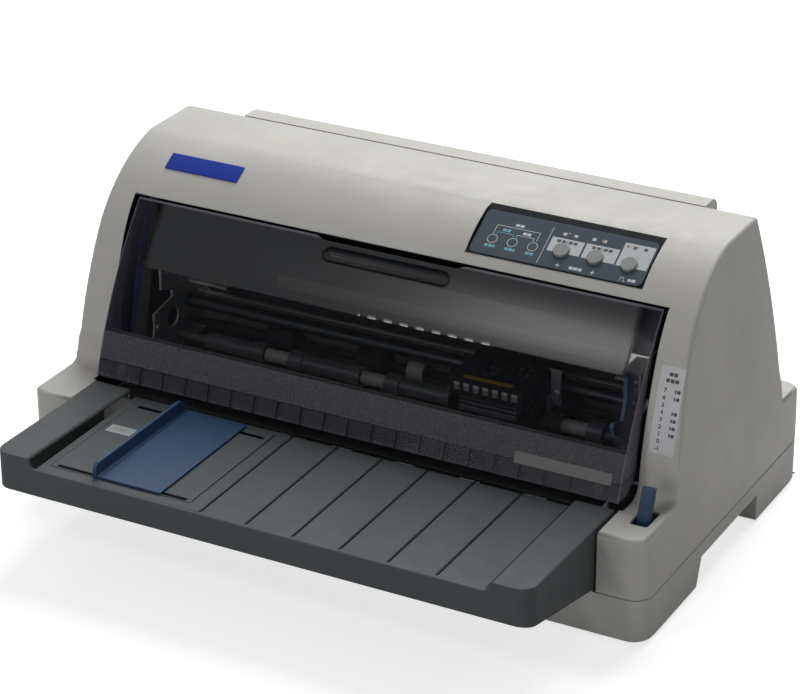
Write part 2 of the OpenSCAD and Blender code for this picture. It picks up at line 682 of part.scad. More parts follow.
module base_frame() color("#8f9396") lift() difference() {
  union() {
    box(-base_x, base_x, frame_y0, frame_y1, frame_z0, frame_z0 + sheet_t);
    box(-base_x, base_x, frame_y0, frame_y0 + sheet_t, frame_z0, frame_z0 + base_rim);
    box(-base_x, base_x, frame_y1 - sheet_t, frame_y1, frame_z0, frame_z0 + base_rim);
  }
  for (x = [-130 : 52 : 130]) translate([x, 28, frame_z0 - 1]) linear_extrude(6)
    round_rect(-18, 18, -34, 34, 6);
}

// plate that carries the paper between the rollers
module paper_guide() color("#3a3f42") lift() {
  difference() {
    box(-frame_x, frame_x, -bay_back + 1.5, 118, paper_z - 3, paper_z - 1);
    for (x = roller_places, y = [front_y, rear_y, exit_y])
      box(x - roller_len / 2 - 1, x + roller_len / 2 + 1, y - roller_r - 0.7, y + roller_r + 0.7, 50, 90);
    box(-frame_x + 8, frame_x - 8, platen_y - roller_r - 0.8, platen_y + roller_r + 0.8, 50, 90);
  }
  for (x = [-150 : 20 : 150]) box(x - 0.8, x + 0.8, 70, 116, paper_z - 1.01, paper_z - 0.4);
}
roller_len = 24;
roller_step = 75.2;
roller_x0 = -113.5;
roller_places = [for (i = [0 : 3]) roller_x0 + i * roller_step];

// ---- lower rollers ----
module lower_shaft(y) rod_x(gear_x - 1, frame_x + sheet_t + 2, y, roller_z, shaft_r);
module lower_rubber(y) for (x = roller_places) difference() {
  rod_x(x - roller_len / 2, x + roller_len / 2, y, roller_z, roller_r);
  rod_x(x - roller_len, x + roller_len, y, roller_z, shaft_r);
}
module platen_shaft() color("#b8bbbd") lift() lower_shaft(platen_y);
module platen_rubber() color("#26282a") lift() difference() {
  rod_x(-frame_x + 10, frame_x - 10, platen_y, roller_z, roller_r);
  rod_x(-frame_x, frame_x, platen_y, roller_z, shaft_r);
}
module front_shaft() color("#b8bbbd") lift() lower_shaft(front_y);
module front_rollers() color("#26282a") lift() lower_rubber(front_y);
module rear_shaft() color("#b8bbbd") lift() lower_shaft(rear_y);
module rear_rollers() color("#26282a") lift() lower_rubber(rear_y);
module exit_shaft() color("#b8bbbd") lift() lower_shaft(exit_y);
module exit_rollers() color("#26282a") lift() lower_rubber(exit_y);

// ---- gears ----
// tooth flank from the involute of the base circle, with side play
pressure = 20;
play = 0.12;
function inv_deg(r, rb) = let (a = acos(min(1, rb / r))) tan(a) * 180 / PI - a;
module gear_plane(teeth) {
  rp = gear_m * teeth / 2;
  rb = rp * cos(pressure);
  ro = rp + gear_m * 0.92;
  rr = rp - gear_m * 1.25;
  half = 90 / teeth - play / rp * 90 / PI + inv_deg(rp, rb);
  rs = [for (k = [0 : 4]) max(rb, rr) + (ro - max(rb, rr)) * k / 4];
  circle(r = rr + eps, $fn = 96);
  for (i = [0 : teeth - 1]) rotate(i * 360 / teeth) polygon(concat(
    [[rr * cos(half), -rr * sin(half)]],
    [for (r = rs) let (a = half - inv_deg(r, rb)) [r * cos(a), -r * sin(a)]],
    [for (k = [4 : -1 : 0]) let (r = rs[k], a = half - inv_deg(r, rb)) [r * cos(a), r * sin(a)]],
    [[rr * cos(half), rr * sin(half)]]));
}
module gear_x_axis(y, z, teeth, turn, bore) translate([gear_x, y, z]) rotate([90, 0, 90])
  linear_extrude(gear_w) difference() {
    rotate(turn) gear_plane(teeth);
    circle(r = bore);
  }
// angle of the line from a roller gear to the idler behind it
mesh_ang = -atan2(idler_drop, roller_gap / 2);
half_tooth = 180 / gear_teeth;
// each roller gear is turned on by as much as the teeth between it and the one in front of it ask
module roller_gear(k) gear_x_axis(front_y + k * roller_gap, roller_z, gear_teeth,
  mesh_ang - 4 * k * mesh_ang, shaft_r);
// an idler shows a gap where the roller gear in front of it shows a tooth
function idler_turn(k) = mesh_ang + 180 + half_tooth + 4 * k * mesh_ang;
module gear_front() color("#e4e2da") lift() roller_gear(0);
module gear_platen() color("#e4e2da") lift() roller_gear(1);
module gear_rear() color("#e4e2da") lift() roller_gear(2);
module gear_exit() color("#e4e2da") lift() roller_gear(3);
module idler(k) color("#d8d6cf") lift()
  gear_x_axis(idler_y(k), idler_z, gear_teeth, idler_turn(k), idler_pin_r + run_fit);
module idler_front() idler(0);
module idler_middle() idler(1);
module idler_back() idler(2);
module feed_motor() color("#6f7376") lift() {
  difference() {
    rod_x(-frame_x + 0.05, -frame_x + 24, pinion_y, pinion_z, motor_r);
    rod_x(-frame_x - 1, -frame_x + 20, pinion_y, pinion_z, 1.5 + run_fit);
  }
}
// the pinion's tooth points into the idler's gap
pinion_turn = pinion_ang + 180 + 180 / pinion_teeth + (pinion_ang - idler_turn(2)) * gear_teeth / pinion_teeth;
module feed_pinion() color("#c9a24a") lift() {
  gear_x_axis(pinion_y, pinion_z, pinion_teeth, pinion_turn, 1.5 - eps);
  rod_x(gear_x, -frame_x + 16, pinion_y, pinion_z, 1.5);
}

// ---- upper rollers ----
module upper_shaft(y, z) rod_x(-frame_x - sheet_t - 1.5 + 0.8, frame_x + sheet_t + 1.5, y, z, shaft_r);
module pinch_front() color("#3d4246") lift() {
  upper_shaft(front_y, pinch_z);
  for (x = roller_places) rod_x(x - 8, x + 8, front_y, pinch_z, pinch_r);
}
sleeve_step = 79;
sleeve_x0 = -103.5;
module pinch_middle() color("#777c80") lift() {
  upper_shaft(rear_y, pinch_z);
  for (i = [0 : 3]) let (x = sleeve_x0 + i * sleeve_step) {
    rod_x(x - 10, x + 10, rear_y, pinch_z, 5);
    for (s = [-1, 1]) rod_x(x + s * 16 - 6, x + s * 16 + 6, rear_y, pinch_z, pinch_r);
    if (i < 3) rod_x(x + 22 - eps, x + sleeve_step - 22 + eps, rear_y, pinch_z, 6.4);
  }
  rod_x(sleeve_x0 - 60, sleeve_x0 - 22 + eps, rear_y, pinch_z, 6.4);
}
module pinch_back() color("#1e2022") lift() {
  upper_shaft(exit_y, back_z);
  for (x = roller_places) rod_x(x - roller_len / 2, x + roller_len / 2, exit_y, back_z, back_r);
}
module shaft_support() color("#e2e3e6") lift() {
  difference() {
    union() {
      rod_x(-8.5, 4.8, exit_y, back_z, 8.6);
      box(1.4, 4.8, exit_y, rail_y + 8.6, back_z + 4, back_z + 8);
      box(1.4, 12.7, rail_y + 6, rail_y + 8.6, back_z + 1, rail_z - 2);
    }
    rod_x(-20, 20, exit_y, back_z, shaft_r + run_fit);
  }
}

// ---- carriage ----
module rear_rail() color("#8c7f74") lift() difference() {
  union() {
    box(-frame_x, frame_x, rail_y, rail_y + 10, rail_z, rail_z + 1.5);
    box(-frame_x, frame_x, rail_y + 8.6, rail_y + 10, rail_z - 24, rail_z + 1.5);
    mirror_x() box(frame_x - 10, frame_x, rail_y + 8.6, rail_y + 30, rail_z - 24, rail_z - 22.5);
  }
  for (x = [-150 : 60 : 150]) translate([x, rail_y + 20, rail_z - 12]) rotate([90, 0, 0])
    cylinder(h = 30, r = 5);
}
module guide_shaft() color("#5d6266") lift()
  rod_x(-frame_x - sheet_t - 1, frame_x + sheet_t + 1, guide_y, guide_z, guide_r);
module carriage_frame() color("#2b2e31") lift() translate([carriage_x, 0, 0]) difference() {
  union() {
    // block on the guide shaft
    along_x(-32, 32) union() {
      translate([guide_y, guide_z]) circle(r = guide_r + 3.5);
      translate([guide_y, guide_z - 6]) square([belt_y - pulley_r - 2.5 - guide_y, guide_r + 3.5 + 6 - 2]);
    }
    // jaws round the rail's edge and the belt clamp
    box(-12, 12, guide_y + 4, rail_y - 0.4, rail_z - 3, rail_z + 4);
    box(-12, 12, guide_y + 6, rail_y + 5, rail_z + 1.75, rail_z + 4);
    box(-12, 12, guide_y + 6, rail_y + 5, rail_z - 3, rail_z - 0.25);
    box(-10, 10, belt_y - pulley_r - 4, belt_y - pulley_r - 0.9, rail_z + 3, belt_z + 7);
    box(-10, 10, belt_y - pulley_r + 0.9, belt_y - pulley_r + 3, rail_z + 3, belt_z + 7);
    // cradle of the print head
    box(-32, 32, -2, guide_y - 3, 90.5, 93.5);
    mirror_x() along_x(29, 32) polygon([[-2, 90.5], [-2, 100], [14, 112], [guide_y - 4, 112],
      [guide_y, 104], [guide_y, 93.5], [guide_y - 3, 90.5]]);
    box(-32, 32, guide_y - 9, guide_y - 4, 92, 108);
  }
  rod_x(-40, 40, guide_y, guide_z, guide_r + run_fit);
  box(-15, 15, platen_y - 8, platen_y + 9, 80, 96);
}
module print_head() color("#3f4347") lift() translate([carriage_x, 0, 0]) {
  difference() {
    box(-22, 22, -4, 31, 93.5, 116);
    // cooling fins
    for (z = [97 : 3.4 : 114]) {
      box(-30, -15, -10, 40, z, z + 1.7);
      box(15, 30, -10, 40, z, z + 1.7);
      box(-30, 30, -10, 1, z, z + 1.7);
    }
  }
  // nose that ends over the platen
  along_x(-9, 9) polygon([[platen_y - 7, 94], [platen_y - 7, 88], [platen_y - 3.4, paper_z + 2],
    [platen_y + 3.4, paper_z + 2], [platen_y + 7, 88], [platen_y + 7, 94]]);
}
module head_cover() color("#1b1c1f") lift() translate([carriage_x, 0, 0]) difference() {
  box(-head_half, head_half, -8, 35.5, 106, head_z);
  box(-head_half + 1.6, head_half - 1.6, -6.4, 40, 100, head_z - 1.8);
  // ring grille
  translate([4, 16, head_z - 5]) for (k = [0 : 2]) difference() {
    cylinder(h = 10, r = 17.5 - k * 5.2);
    translate([0, 0, -1]) cylinder(h = 12, r = 14.6 - k * 5.2);
    for (a = [0 : 60 : 120]) rotate(a + 20) translate([-30, -1.2, -1]) cube([60, 2.4, 12]);
  }
  for (i = [0 : 6]) box(-24.6 + i * 7.3, -19.6 + i * 7.3, -12, -6, 109.5, 116);
}
module head_bracket() color("#8e9297") lift() translate([carriage_x, 0, 0]) {
  difference() {
    union() {
      box(32.02, 33.6, 22, 30, 92, 104);
      box(32.02, 40, 28.4, 30, 95.4, head_z + 2);
    }
    translate([36.4, 40, 103]) rotate([90, 0, 0]) cylinder(h = 20, r = 1.9);
  }
  translate([36.4, 28.4, 103]) rotate([90, 0, 0]) { cylinder(h = 2.2, r = 3.6); }
  translate([36.4, 30, 103]) rotate([90, 0, 0]) cylinder(h = 3, r = 1.88);
}
module belt_loop(r) {
  translate([-pulley_x, -r]) square([2 * pulley_x, 2 * r]);
  for (s = [-1, 1]) translate([s * pulley_x, 0]) circle(r = r);
}
module drive_belt() color("#151517") lift() translate([0, belt_y, belt_z]) linear_extrude(6) difference() {
  belt_loop(pulley_r + 0.6);
  belt_loop(pulley_r - 0.6);
}
module pulley(bore) difference() {
  union() {
    translate([0, 0, -0.8]) cylinder(h = 7.6, r = pulley_r - 0.9);
    translate([0, 0, -1.8]) cylinder(h = 1.5, r = pulley_r + 1.4);
    translate([0, 0, 6.3]) cylinder(h = 1.2, r = pulley_r + 1.4);
  }
  if (bore > 0) translate([0, 0, -5]) cylinder(h = 20, r = bore);
}
module drive_pulley() color("#c9c6bb") lift() translate([-pulley_x, belt_y, belt_z]) {
  pulley(0);
  translate([0, 0, 7]) cylinder(h = 9, r = 1.5);
}
module return_pulley() color("#c9c6bb") lift() translate([pulley_x, belt_y, belt_z]) pulley(2 + run_fit);
module carriage_motor() color("#6f7376") lift()
  translate([-pulley_x, belt_y, belt_z + 8 + sheet_t + 0.05]) difference() {
    cylinder(h = 30, r = 14.5);
    translate([0, 0, -1]) cylinder(h = 10, r = 1.5 + run_fit);
  }
module release_lever() color("#6c93bb") lift() difference() {
  along_x(frame_x - 6, frame_x - 3) translate([release_y, release_z]) union() {
    circle(r = 6);
    // arm that lifts the rollers, and the finger tab in front of it
    polygon([[5.5, 0], [3, 12], [4, 36], [5, 51], [0, 54], [-7, 53], [-7, 34], [-11, 22],
      [-27, 27], [-28, 24], [-25, 17], [-11, 9], [-5.5, 0]]);
  }
  rod_x(frame_x - 8, frame_x + 1, release_y, release_z, release_pin_r + run_fit);
}

// ---- electrics ----
// power supply beside the left wall, board in the room that it leaves
supply_w = 100;
supply_l = 72;
supply_h = 35.4;
supply_x0 = -half_w + 64;
supply_x1 = supply_x0 + supply_w;
supply_y1 = case_back - 12;
supply_y0 = supply_y1 - supply_l;
board_t = 1.6;
board_z = wall + 5.4;
board_x0 = supply_x1 + 16;
board_x1 = half_w - 60;
board_y0 = case_back - 86;
board_y1 = case_back - 8;
top_z = board_z + board_t;
cap_r = 5;
module main_board() color("#2f6b45") lift() {
  box(board_x0, board_x1, board_y0, board_y1, board_z, top_z);
  for (x = [board_x0 + 20, board_x1 - 20], y = [board_y0 + 6, board_y1 - 10])
    translate([x, y, wall]) cylinder(h = board_z - wall, r = 3);
  translate([board_x1 - 180, board_y0 + 22, top_z]) cube([28, 28, 2.4]);
  translate([board_x1 - 130, board_y0 + 14, top_z]) cube([34, 12, 4.4]);
  for (i = [0 : 4]) translate([board_x1 - 80 + i * 2.8 * cap_r, board_y0 + 28, top_z])
    cylinder(h = 14, r = cap_r);
}
module power_supply() color("#94979a") lift() difference() {
  union() {
    translate([supply_x0, supply_y0, wall]) cube([supply_w, supply_l, supply_h]);
    translate([supply_x0 + 16, supply_y0 + 12, wall + supply_h]) cube([50, 46, 24]);
  }
  // cooling slots
  for (x = [supply_x0 + 6 : 9 : supply_x1 - 8])
    translate([x, supply_y0 - 10, wall + 7.4]) cube([4, supply_l + 20, 20]);
}
// sockets in the back wall; each opening follows its socket with a clearance
port_gap = 0.2;
inlet_x = supply_x0 - 15.2;
inlet_w = 27.2;
inlet_z0 = 41.2;
inlet_z1 = 60.8;
switch_x = inlet_x + 30.2;
switch_w = 13.2;
switch_y = case_back - 10;
switch_z = 51.25;
switch_r = 9.6;
parallel_x = board_x1 - 60;
parallel_w = 55.6;
usb_x = board_x1 - 117;
usb_w = 13.4;
shell_back = case_back - port_gap;
flange_back = case_back - wall - 0.02;
module power_inlet() color("#1c1d1f") lift() {
  difference() {
    union() {
      box(inlet_x - inlet_w / 2, inlet_x + inlet_w / 2, case_back - 22, shell_back, inlet_z0, inlet_z1);
      box(inlet_x - 16.8, inlet_x + 41.2, flange_back - 2, flange_back, inlet_z0 - 3.2, inlet_z1 + 3.2);
      box(switch_x - 10, switch_x + 10, switch_y - 3, flange_back - 1, switch_z - 12.25, switch_z + 12.25);
    }
    box(inlet_x - inlet_w / 2 + 2.4, inlet_x + inlet_w / 2 - 2.4, case_back - 16, case_back + 1,
      inlet_z0 + 2.2, inlet_z1 - 2.2);
    box(switch_x - 7, switch_x + 7, switch_y - 10, case_back + 1, switch_z - 10.75, switch_z + 10.75);
  }
  for (s = [-1, 1]) rod_x(switch_x + s * 5.75 - 1.26, switch_x + s * 5.75 + 1.26, switch_y, switch_z, 1);
}
module power_switch() color("#3a2a2a") lift() difference() {
  along_x(switch_x - switch_w / 2, switch_x + switch_w / 2) intersection() {
    translate([switch_y, switch_z]) circle(r = switch_r);
    translate([switch_y, switch_z]) polygon([[-3, -12], [3.5, -12], [6.6, 0], [switch_r, 7],
      [switch_r, 12], [-3, 12]]);
  }
  for (s = [-1, 1]) rod_x(switch_x + s * 5.75 - 1.75, switch_x + s * 5.75 + 1.75, switch_y, switch_z,
    1 + run_fit);
}
module parallel_port() color("#8a8d90") lift() difference() {
  union() {
    box(parallel_x - parallel_w / 2, parallel_x + parallel_w / 2, case_back - 16, shell_back, 44.2, 59.8);
    box(parallel_x - 34, parallel_x + 34, flange_back - 1.6, flange_back, 40, 64);
  }
  box(parallel_x - 22, parallel_x + 22, case_back - 10, case_back + 1, 47, 57);
}
module usb_port() color("#8a8d90") lift() difference() {
  box(usb_x - usb_w / 2, usb_x + usb_w / 2, case_back - 16, shell_back, 45.3, 58.7);
  box(usb_x - 5, usb_x + 5, case_back - 12, case_back + 1, 47.5, 56.5);
}

lower_case();
upper_case();
rear_hood();
rubber_feet();
badge_plate();
panel_plate();
panel_lights();
button_pause();
button_load();
button_feed();
front_cover();
hinge_bushes();
front_tray();
guide_bed();
edge_guide();
thickness_lever();
lever_bracket();
base_frame();
side_frame_left();
side_frame_right();
paper_guide();
platen_shaft();
platen_rubber();
front_shaft();
front_rollers();
rear_shaft();
rear_rollers();
exit_shaft();
exit_rollers();
gear_front();
gear_platen();
gear_rear();
gear_exit();
idler_front();
idler_middle();
idler_back();
feed_motor();
feed_pinion();
pinch_front();
pinch_middle();
pinch_back();
shaft_support();
rear_rail();
guide_shaft();
carriage_frame();
print_head();
head_cover();
head_bracket();
drive_belt();
drive_pulley();
return_pulley();
carriage_motor();
release_lever();
main_board();
power_supply();
power_inlet();
power_switch();
parallel_port();
usb_port();
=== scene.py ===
"""Looks of a flatbed dot matrix printer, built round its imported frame."""
import json
import math
from functools import cache

import bmesh
import bpy
from bpy.props import FloatProperty, FloatVectorProperty, IntProperty, PointerProperty
from mathutils import Matrix, Vector


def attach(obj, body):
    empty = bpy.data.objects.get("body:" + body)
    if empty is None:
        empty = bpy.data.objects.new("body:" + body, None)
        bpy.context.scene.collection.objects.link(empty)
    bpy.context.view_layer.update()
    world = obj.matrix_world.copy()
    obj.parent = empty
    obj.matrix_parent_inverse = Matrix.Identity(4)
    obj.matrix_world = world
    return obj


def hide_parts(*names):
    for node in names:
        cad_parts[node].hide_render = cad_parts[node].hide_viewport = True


bl_info = {
    "name": "Dot matrix printer",
    "version": (1, 0, 0),
    "blender": (4, 5, 0),
    "location": "View3D > Sidebar > Printer",
    "description": "Builds the visible pieces and finishes of a flatbed printer on its frame",
    "category": "Object",
}

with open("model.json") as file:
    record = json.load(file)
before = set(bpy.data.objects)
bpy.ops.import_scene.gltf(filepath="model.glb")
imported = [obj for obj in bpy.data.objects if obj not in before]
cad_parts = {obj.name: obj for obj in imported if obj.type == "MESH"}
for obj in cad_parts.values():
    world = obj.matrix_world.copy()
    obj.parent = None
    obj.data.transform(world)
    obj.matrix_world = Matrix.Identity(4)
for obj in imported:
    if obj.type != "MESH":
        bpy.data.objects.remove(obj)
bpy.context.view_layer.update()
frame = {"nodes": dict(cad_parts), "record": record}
MM = 0.001
SLOT_OF = {part["node"]: part["material_slot"] for part in frame["record"]["subparts"]}
BODY_OF = {node: body for body, nodes in frame["record"]["behaviour"]["bodies"].items() for node in nodes}
FOOT = 2.5  # height of the rubber feet, mm


def tone(red, green, blue):
    """Linear colour of a screen colour given from 0 to 255."""
    return tuple(
        c / 12.92 if c <= 0.04045 else ((c + 0.055) / 1.055) ** 2.4
        for c in (red / 255, green / 255, blue / 255)
    )


# ---- settings ----
def colour(name, description, default):
    return FloatVectorProperty(
        name=name, description=description, default=default, subtype="COLOR", size=3, min=0, max=1)


def length(name, description, default):
    return FloatProperty(
        name=name, description=description, default=default, min=0, max=0.05, unit="LENGTH", precision=5)


def power(name, description, default):
    return FloatProperty(name=name, description=description, default=default, min=0, unit="POWER")


class PrinterColours(bpy.types.PropertyGroup):
    case: colour("Case", "Moulded case halves and rear hood", tone(207, 205, 199))
    base: colour("Lower case", "Lower half of the case", tone(205, 203, 198))
    tray: colour("Tray", "Front paper tray and the plate under the edge guide", tone(86, 91, 93))
    lever: colour("Lever blue", "Edge guide and thickness lever", tone(48, 76, 106))
    plate: colour("Blue plate", "Bare plate on the front of the case", tone(38, 64, 172))
    panel: colour("Panel", "Face of the control panel", tone(76, 86, 96))
    button: colour("Buttons", "Caps of the three push buttons", tone(150, 152, 152))
    smoke: colour("Smoked cover", "Body colour of the see-through front cover", tone(26, 28, 33))


class PrinterSizes(bpy.types.PropertyGroup):
    case_edge: length("Case edges", "Radius of the outer edges of the case", 0.0026)
    wall_edge: length("Wall edges", "Radius of the edges round openings and walls", 0.0007)
    tray_edge: length("Tray edges", "Radius of the edges of the paper tray", 0.0012)
    metal_edge: length("Metal edges", "Rounding of cut sheet metal", 0.0003)
    ink: length("Ink", "Height of printed marks over their plate", 0.00006)
    case_grain: length("Case grain", "Size of the moulded grain on the case", 0.00045)
    screw: length("Screws", "Radius of the screw heads in the frame", 0.0031)
    tick_count: IntProperty(
        name="Ticks", description="Marks of the scale beside the lever", default=9, min=3, max=15)


class StudioSettings(bpy.types.PropertyGroup):
    lens: FloatProperty(
        name="Lens", description="Focal length on a 36 mm sensor", default=132.46, min=20, max=300)
    key: power("Top light", "Power of the large light overhead", 25.0)
    fill: power("Front light", "Power of the light in front on the left", 3.4)
    low: power("Low light", "Power of the light low in front", 3.6)
    sky: FloatProperty(
        name="Sky", description="Strength of the even light from all round", default=0.12, min=0, max=2)


def colours():
    return bpy.context.scene.printer_colours


def sizes():
    return bpy.context.scene.printer_sizes


# ---- finishes ----
class Finish:
    """One material's node tree, with short calls for the nodes that the finishes share."""

    def __init__(self, name):
        self.material = bpy.data.materials.new(name)
        self.material.use_nodes = True
        self.nodes = self.material.node_tree.nodes
        self.links = self.material.node_tree.links
        self.shader = self.nodes["Principled BSDF"]
        self.place = self.nodes.new("ShaderNodeTexCoord").outputs["Object"]

    def node(self, kind, inputs=(), **settings):
        made = self.nodes.new(kind)
        for key, value in settings.items():
            setattr(made, key, value)
        for socket, value in inputs:
            if isinstance(value, bpy.types.NodeSocket):
                self.links.new(value, made.inputs[socket])
            else:
                made.inputs[socket].default_value = value
        return made

    def stretched(self, x, y, z):
        """The object's own coordinates, stretched, for streaks."""
        return self.node("ShaderNodeMapping", [("Vector", self.place), ("Scale", (x, y, z))]).outputs[0]

    def noise(self, size, detail=2.0, vector=None):
        """Even noise whose spots are about size metres across."""
        inputs = [("Vector", vector or self.place), ("Scale", 1 / size), ("Detail", detail)]
        return self.node("ShaderNodeTexNoise", inputs).outputs["Fac"]

    def spread(self, value, low, high, to_low=0.0, to_high=1.0):
        """A value's range from low to high, laid on another range and held at its ends."""
        ends = (("From Min", low), ("From Max", high), ("To Min", to_low), ("To Max", to_high))
        return self.node("ShaderNodeMapRange", [("Value", value), *ends]).outputs[0]

    def times(self, a, b, operation="MULTIPLY"):
        return self.node("ShaderNodeMath", [(0, a), (1, b)], operation=operation).outputs[0]

    def plus(self, a, b):
        return self.times(a, b, "ADD")

    def most(self, a, b):
        return self.times(a, b, "MAXIMUM")

    def size_of(self, value):
        return self.times(value, 0.0, "ABSOLUTE")

    def blend(self, factor, first, second):
        """A colour between two, by a factor."""
        ends = [(socket, value if isinstance(value, bpy.types.NodeSocket) else (*value[:3], 1))
                for socket, value in ((6, first), (7, second))]
        return self.node("ShaderNodeMix", [(0, factor), *ends], data_type="RGBA").outputs[2]

    def axis(self, name):
        return self.node("ShaderNodeSeparateXYZ", [("Vector", self.place)]).outputs[name]

    def bump(self, height, depth):
        """Relief of a height from 0 to 1, depth metres deep."""
        inputs = [("Height", height), ("Strength", 1.0), ("Distance", depth)]
        return self.node("ShaderNodeBump", inputs).outputs[0]

    def rough(self, size, low, high, detail=2.0):
        """Roughness that wanders from low to high over spots of that size."""
        self.use("Roughness", self.spread(self.noise(size, detail), 0.3, 0.7, low, high))

    def relief(self, size, depth, detail=2.0):
        self.use("Normal", self.bump(self.noise(size, detail), depth))

    def use(self, socket, value):
        self.links.new(value, self.shader.inputs[socket])

    def fix(self, socket, value):
        """A plain value of the shader, the same all over."""
        self.shader.inputs[socket].default_value = value


def shade(colour_value, factor):
    return tuple(min(1.0, c * factor) for c in colour_value[:3])


def moulded(name, colour_value, grain=0.00045, rough=(0.42, 0.56), depth=0.00004, mottle=0.05,
            scuff=0.08, sheen=0.45):
    """Moulded plastic: a fine spark-eroded grain, slight clouding and faint rubbed streaks."""
    f = Finish(name)
    cloud = f.spread(f.noise(0.06, 3), 0.35, 0.65)
    speck = f.spread(f.noise(grain * 1.6, 1), 0.3, 0.7)
    base = f.blend(cloud, shade(colour_value, 1 - mottle), shade(colour_value, 1 + mottle))
    base = f.blend(f.times(speck, mottle * 2.4), base, shade(colour_value, 0.72))
    rub = f.spread(f.noise(0.02, 4, f.stretched(0.35, 1, 2.2)), 0.55, 0.75)
    base = f.blend(f.times(rub, scuff), base, shade(colour_value, 1.3))
    f.use("Base Color", base)
    f.rough(0.011, *rough, detail=3)
    f.relief(grain, depth, 3)
    f.fix("Specular IOR Level", sheen)
    return f.material


# heights on the shut cover and distances from its middle, in mm; heights are over the case's lower edge
COVER_TOP = 300  # anything over the cover
FROST_FROM = 155.4
FROST_SIDES = (-183, 189)
GRAIN_BAND = (92.6, 111.4)
RIB_BAND = (60, 92.2)
TOOTH_BAND = (60, 83.2)
RIB_STEP = 18.69
RIB_START = 168.2
COMB_LINES = ((158.3, 159.8), (162.7, 164.2), (167.1, 168.6))
WHOLE = -9  # a low end that leaves nothing out


def smoked_sheet(name, colour_value):
    """The cover: smoked and clear in the middle, frosted above, grained and ribbed below, with painted
    highlights on its rim and its teeth.
    """
    f = Finish(name)
    along, height = f.axis("X"), f.axis("Z")
    aside = f.size_of(along)

    def between(value, low, high, soft, lift=0.0):
        """1 between two places in mm, and 0 beyond them."""
        rise = f.spread(value, (low + lift - soft) * MM, (low + lift + soft) * MM)
        fall = f.spread(value, (high + lift + soft) * MM, (high + lift - soft) * MM)
        return f.times(rise, fall)

    def zone(low, high, soft=0.2):
        return between(height, low, high, soft, FOOT)

    frost = f.times(zone(FROST_FROM, COVER_TOP, 0.5), between(along, *FROST_SIDES, 2.5))
    grained, ribbed = zone(*GRAIN_BAND), zone(*RIB_BAND)
    # teeth: light speckles along the toothed lower edge, painted highlights
    teeth = f.times(zone(*TOOTH_BAND), f.spread(f.noise(0.0012, 2), 0.5, 0.62))
    step = f.times(f.plus(along, RIB_START * MM), RIB_STEP * MM, "DIVIDE")
    rib = f.times(f.times(f.plus(step, 0.5), 1.0, "FLOORED_MODULO"), 0.5, "SUBTRACT")
    rib = f.times(f.spread(f.size_of(rib), 0.045, 0.03), f.times(ribbed, between(aside, WHOLE, 171, 0.3)))
    groove = f.most(zone(92.1, 92.7, 0.15), rib)
    first, second, third = (zone(*ends) for ends in COMB_LINES)
    comb = f.times(f.plus(f.plus(first, second), third), between(aside, 176, 188.6, 0.2))
    comb = f.most(comb, f.times(between(aside, 186.6, 188.4, 0.2), zone(157, 171.5)))
    # rim: the cover's top edge and both side edges, made nearly opaque; its lighter colour is a painted
    # highlight
    rim = f.most(f.spread(aside, 0.2029, 0.2035), zone(193.4, COVER_TOP))
    band = f.spread(aside, 0.189, 0.2)
    grit = f.spread(f.noise(0.0011, 4), 0.35, 0.7)
    hazy = f.blend(f.noise(0.05, 2), tone(24, 27, 31), tone(31, 35, 39))
    base = f.blend(frost, colour_value, hazy)
    base = f.blend(grained, base, f.blend(grit, tone(66, 65, 70), tone(108, 106, 112)))
    base = f.blend(ribbed, base, tone(76, 78, 86))
    base = f.blend(f.times(band, 0.7), base, tone(78, 74, 86))
    # painted highlight speckles on the teeth
    base = f.blend(teeth, base, tone(122, 116, 132))
    # painted highlight on the rim
    base = f.blend(f.times(rim, 0.8), base, tone(128, 121, 134))
    f.use("Base Color", f.blend(f.most(groove, comb), base, tone(9, 10, 12)))
    alpha = f.plus(f.times(frost, 0.65), 0.22)
    alpha = f.plus(f.times(grained, 0.58), f.plus(alpha, f.times(ribbed, 0.34)))
    alpha = f.plus(alpha, f.times(band, 0.12))
    alpha = f.most(alpha, f.most(f.most(groove, rim), comb))
    cloud = f.times(f.spread(f.noise(0.05, 2), 0.3, 0.7), 0.03)
    held = f.node("ShaderNodeClamp", [("Value", f.plus(alpha, cloud)), ("Max", 0.985)])
    f.use("Alpha", held.outputs[0])
    f.use("Roughness", f.plus(f.times(frost, 0.14), f.spread(grained, 0, 1, 0.06, 0.45)))
    f.use("Specular IOR Level", f.plus(f.times(frost, 0.16), f.spread(grained, 0, 1, 0.06, 0.15)))
    relief = f.times(f.noise(0.0011, 3), f.plus(f.times(grained, 0.95), f.times(frost, 0.12)))
    f.use("Normal", f.bump(relief, 0.00006))
    f.fix("IOR", 1.55)
    return f.material


def streaked_metal(name, colour_value, rough=0.32, along="X", metallic=1.0, depth=0.000012):
    """Rolled or turned metal with fine streaks along one axis, dulled in patches."""
    f = Finish(name)
    scale = {"X": (0.02, 1, 1), "Y": (1, 0.02, 1), "Z": (1, 1, 0.02)}[along]
    streak = f.noise(0.0009, 3, f.stretched(*scale))
    dull = f.spread(f.noise(0.03, 3), 0.35, 0.7)
    f.use("Base Color", f.blend(f.times(dull, 0.6), shade(colour_value, 1.08), shade(colour_value, 0.78)))
    f.use("Roughness", f.plus(f.spread(streak, 0.3, 0.7, rough * 0.75, rough * 1.3), f.times(dull, 0.12)))
    f.use("Normal", f.bump(streak, depth))
    f.fix("Metallic", metallic)
    return f.material


def rubber(name, colour_value, grain=0.0006):
    """Dull rubber with a ground surface and a little paper dust."""
    f = Finish(name)
    dust = f.spread(f.noise(0.004, 4), 0.55, 0.8)
    f.use("Base Color", f.blend(f.times(dust, 0.3), colour_value, tone(120, 118, 114)))
    f.rough(0.003, 0.68, 0.86)
    f.relief(grain, 0.00005)
    f.fix("Specular IOR Level", 0.2)
    return f.material


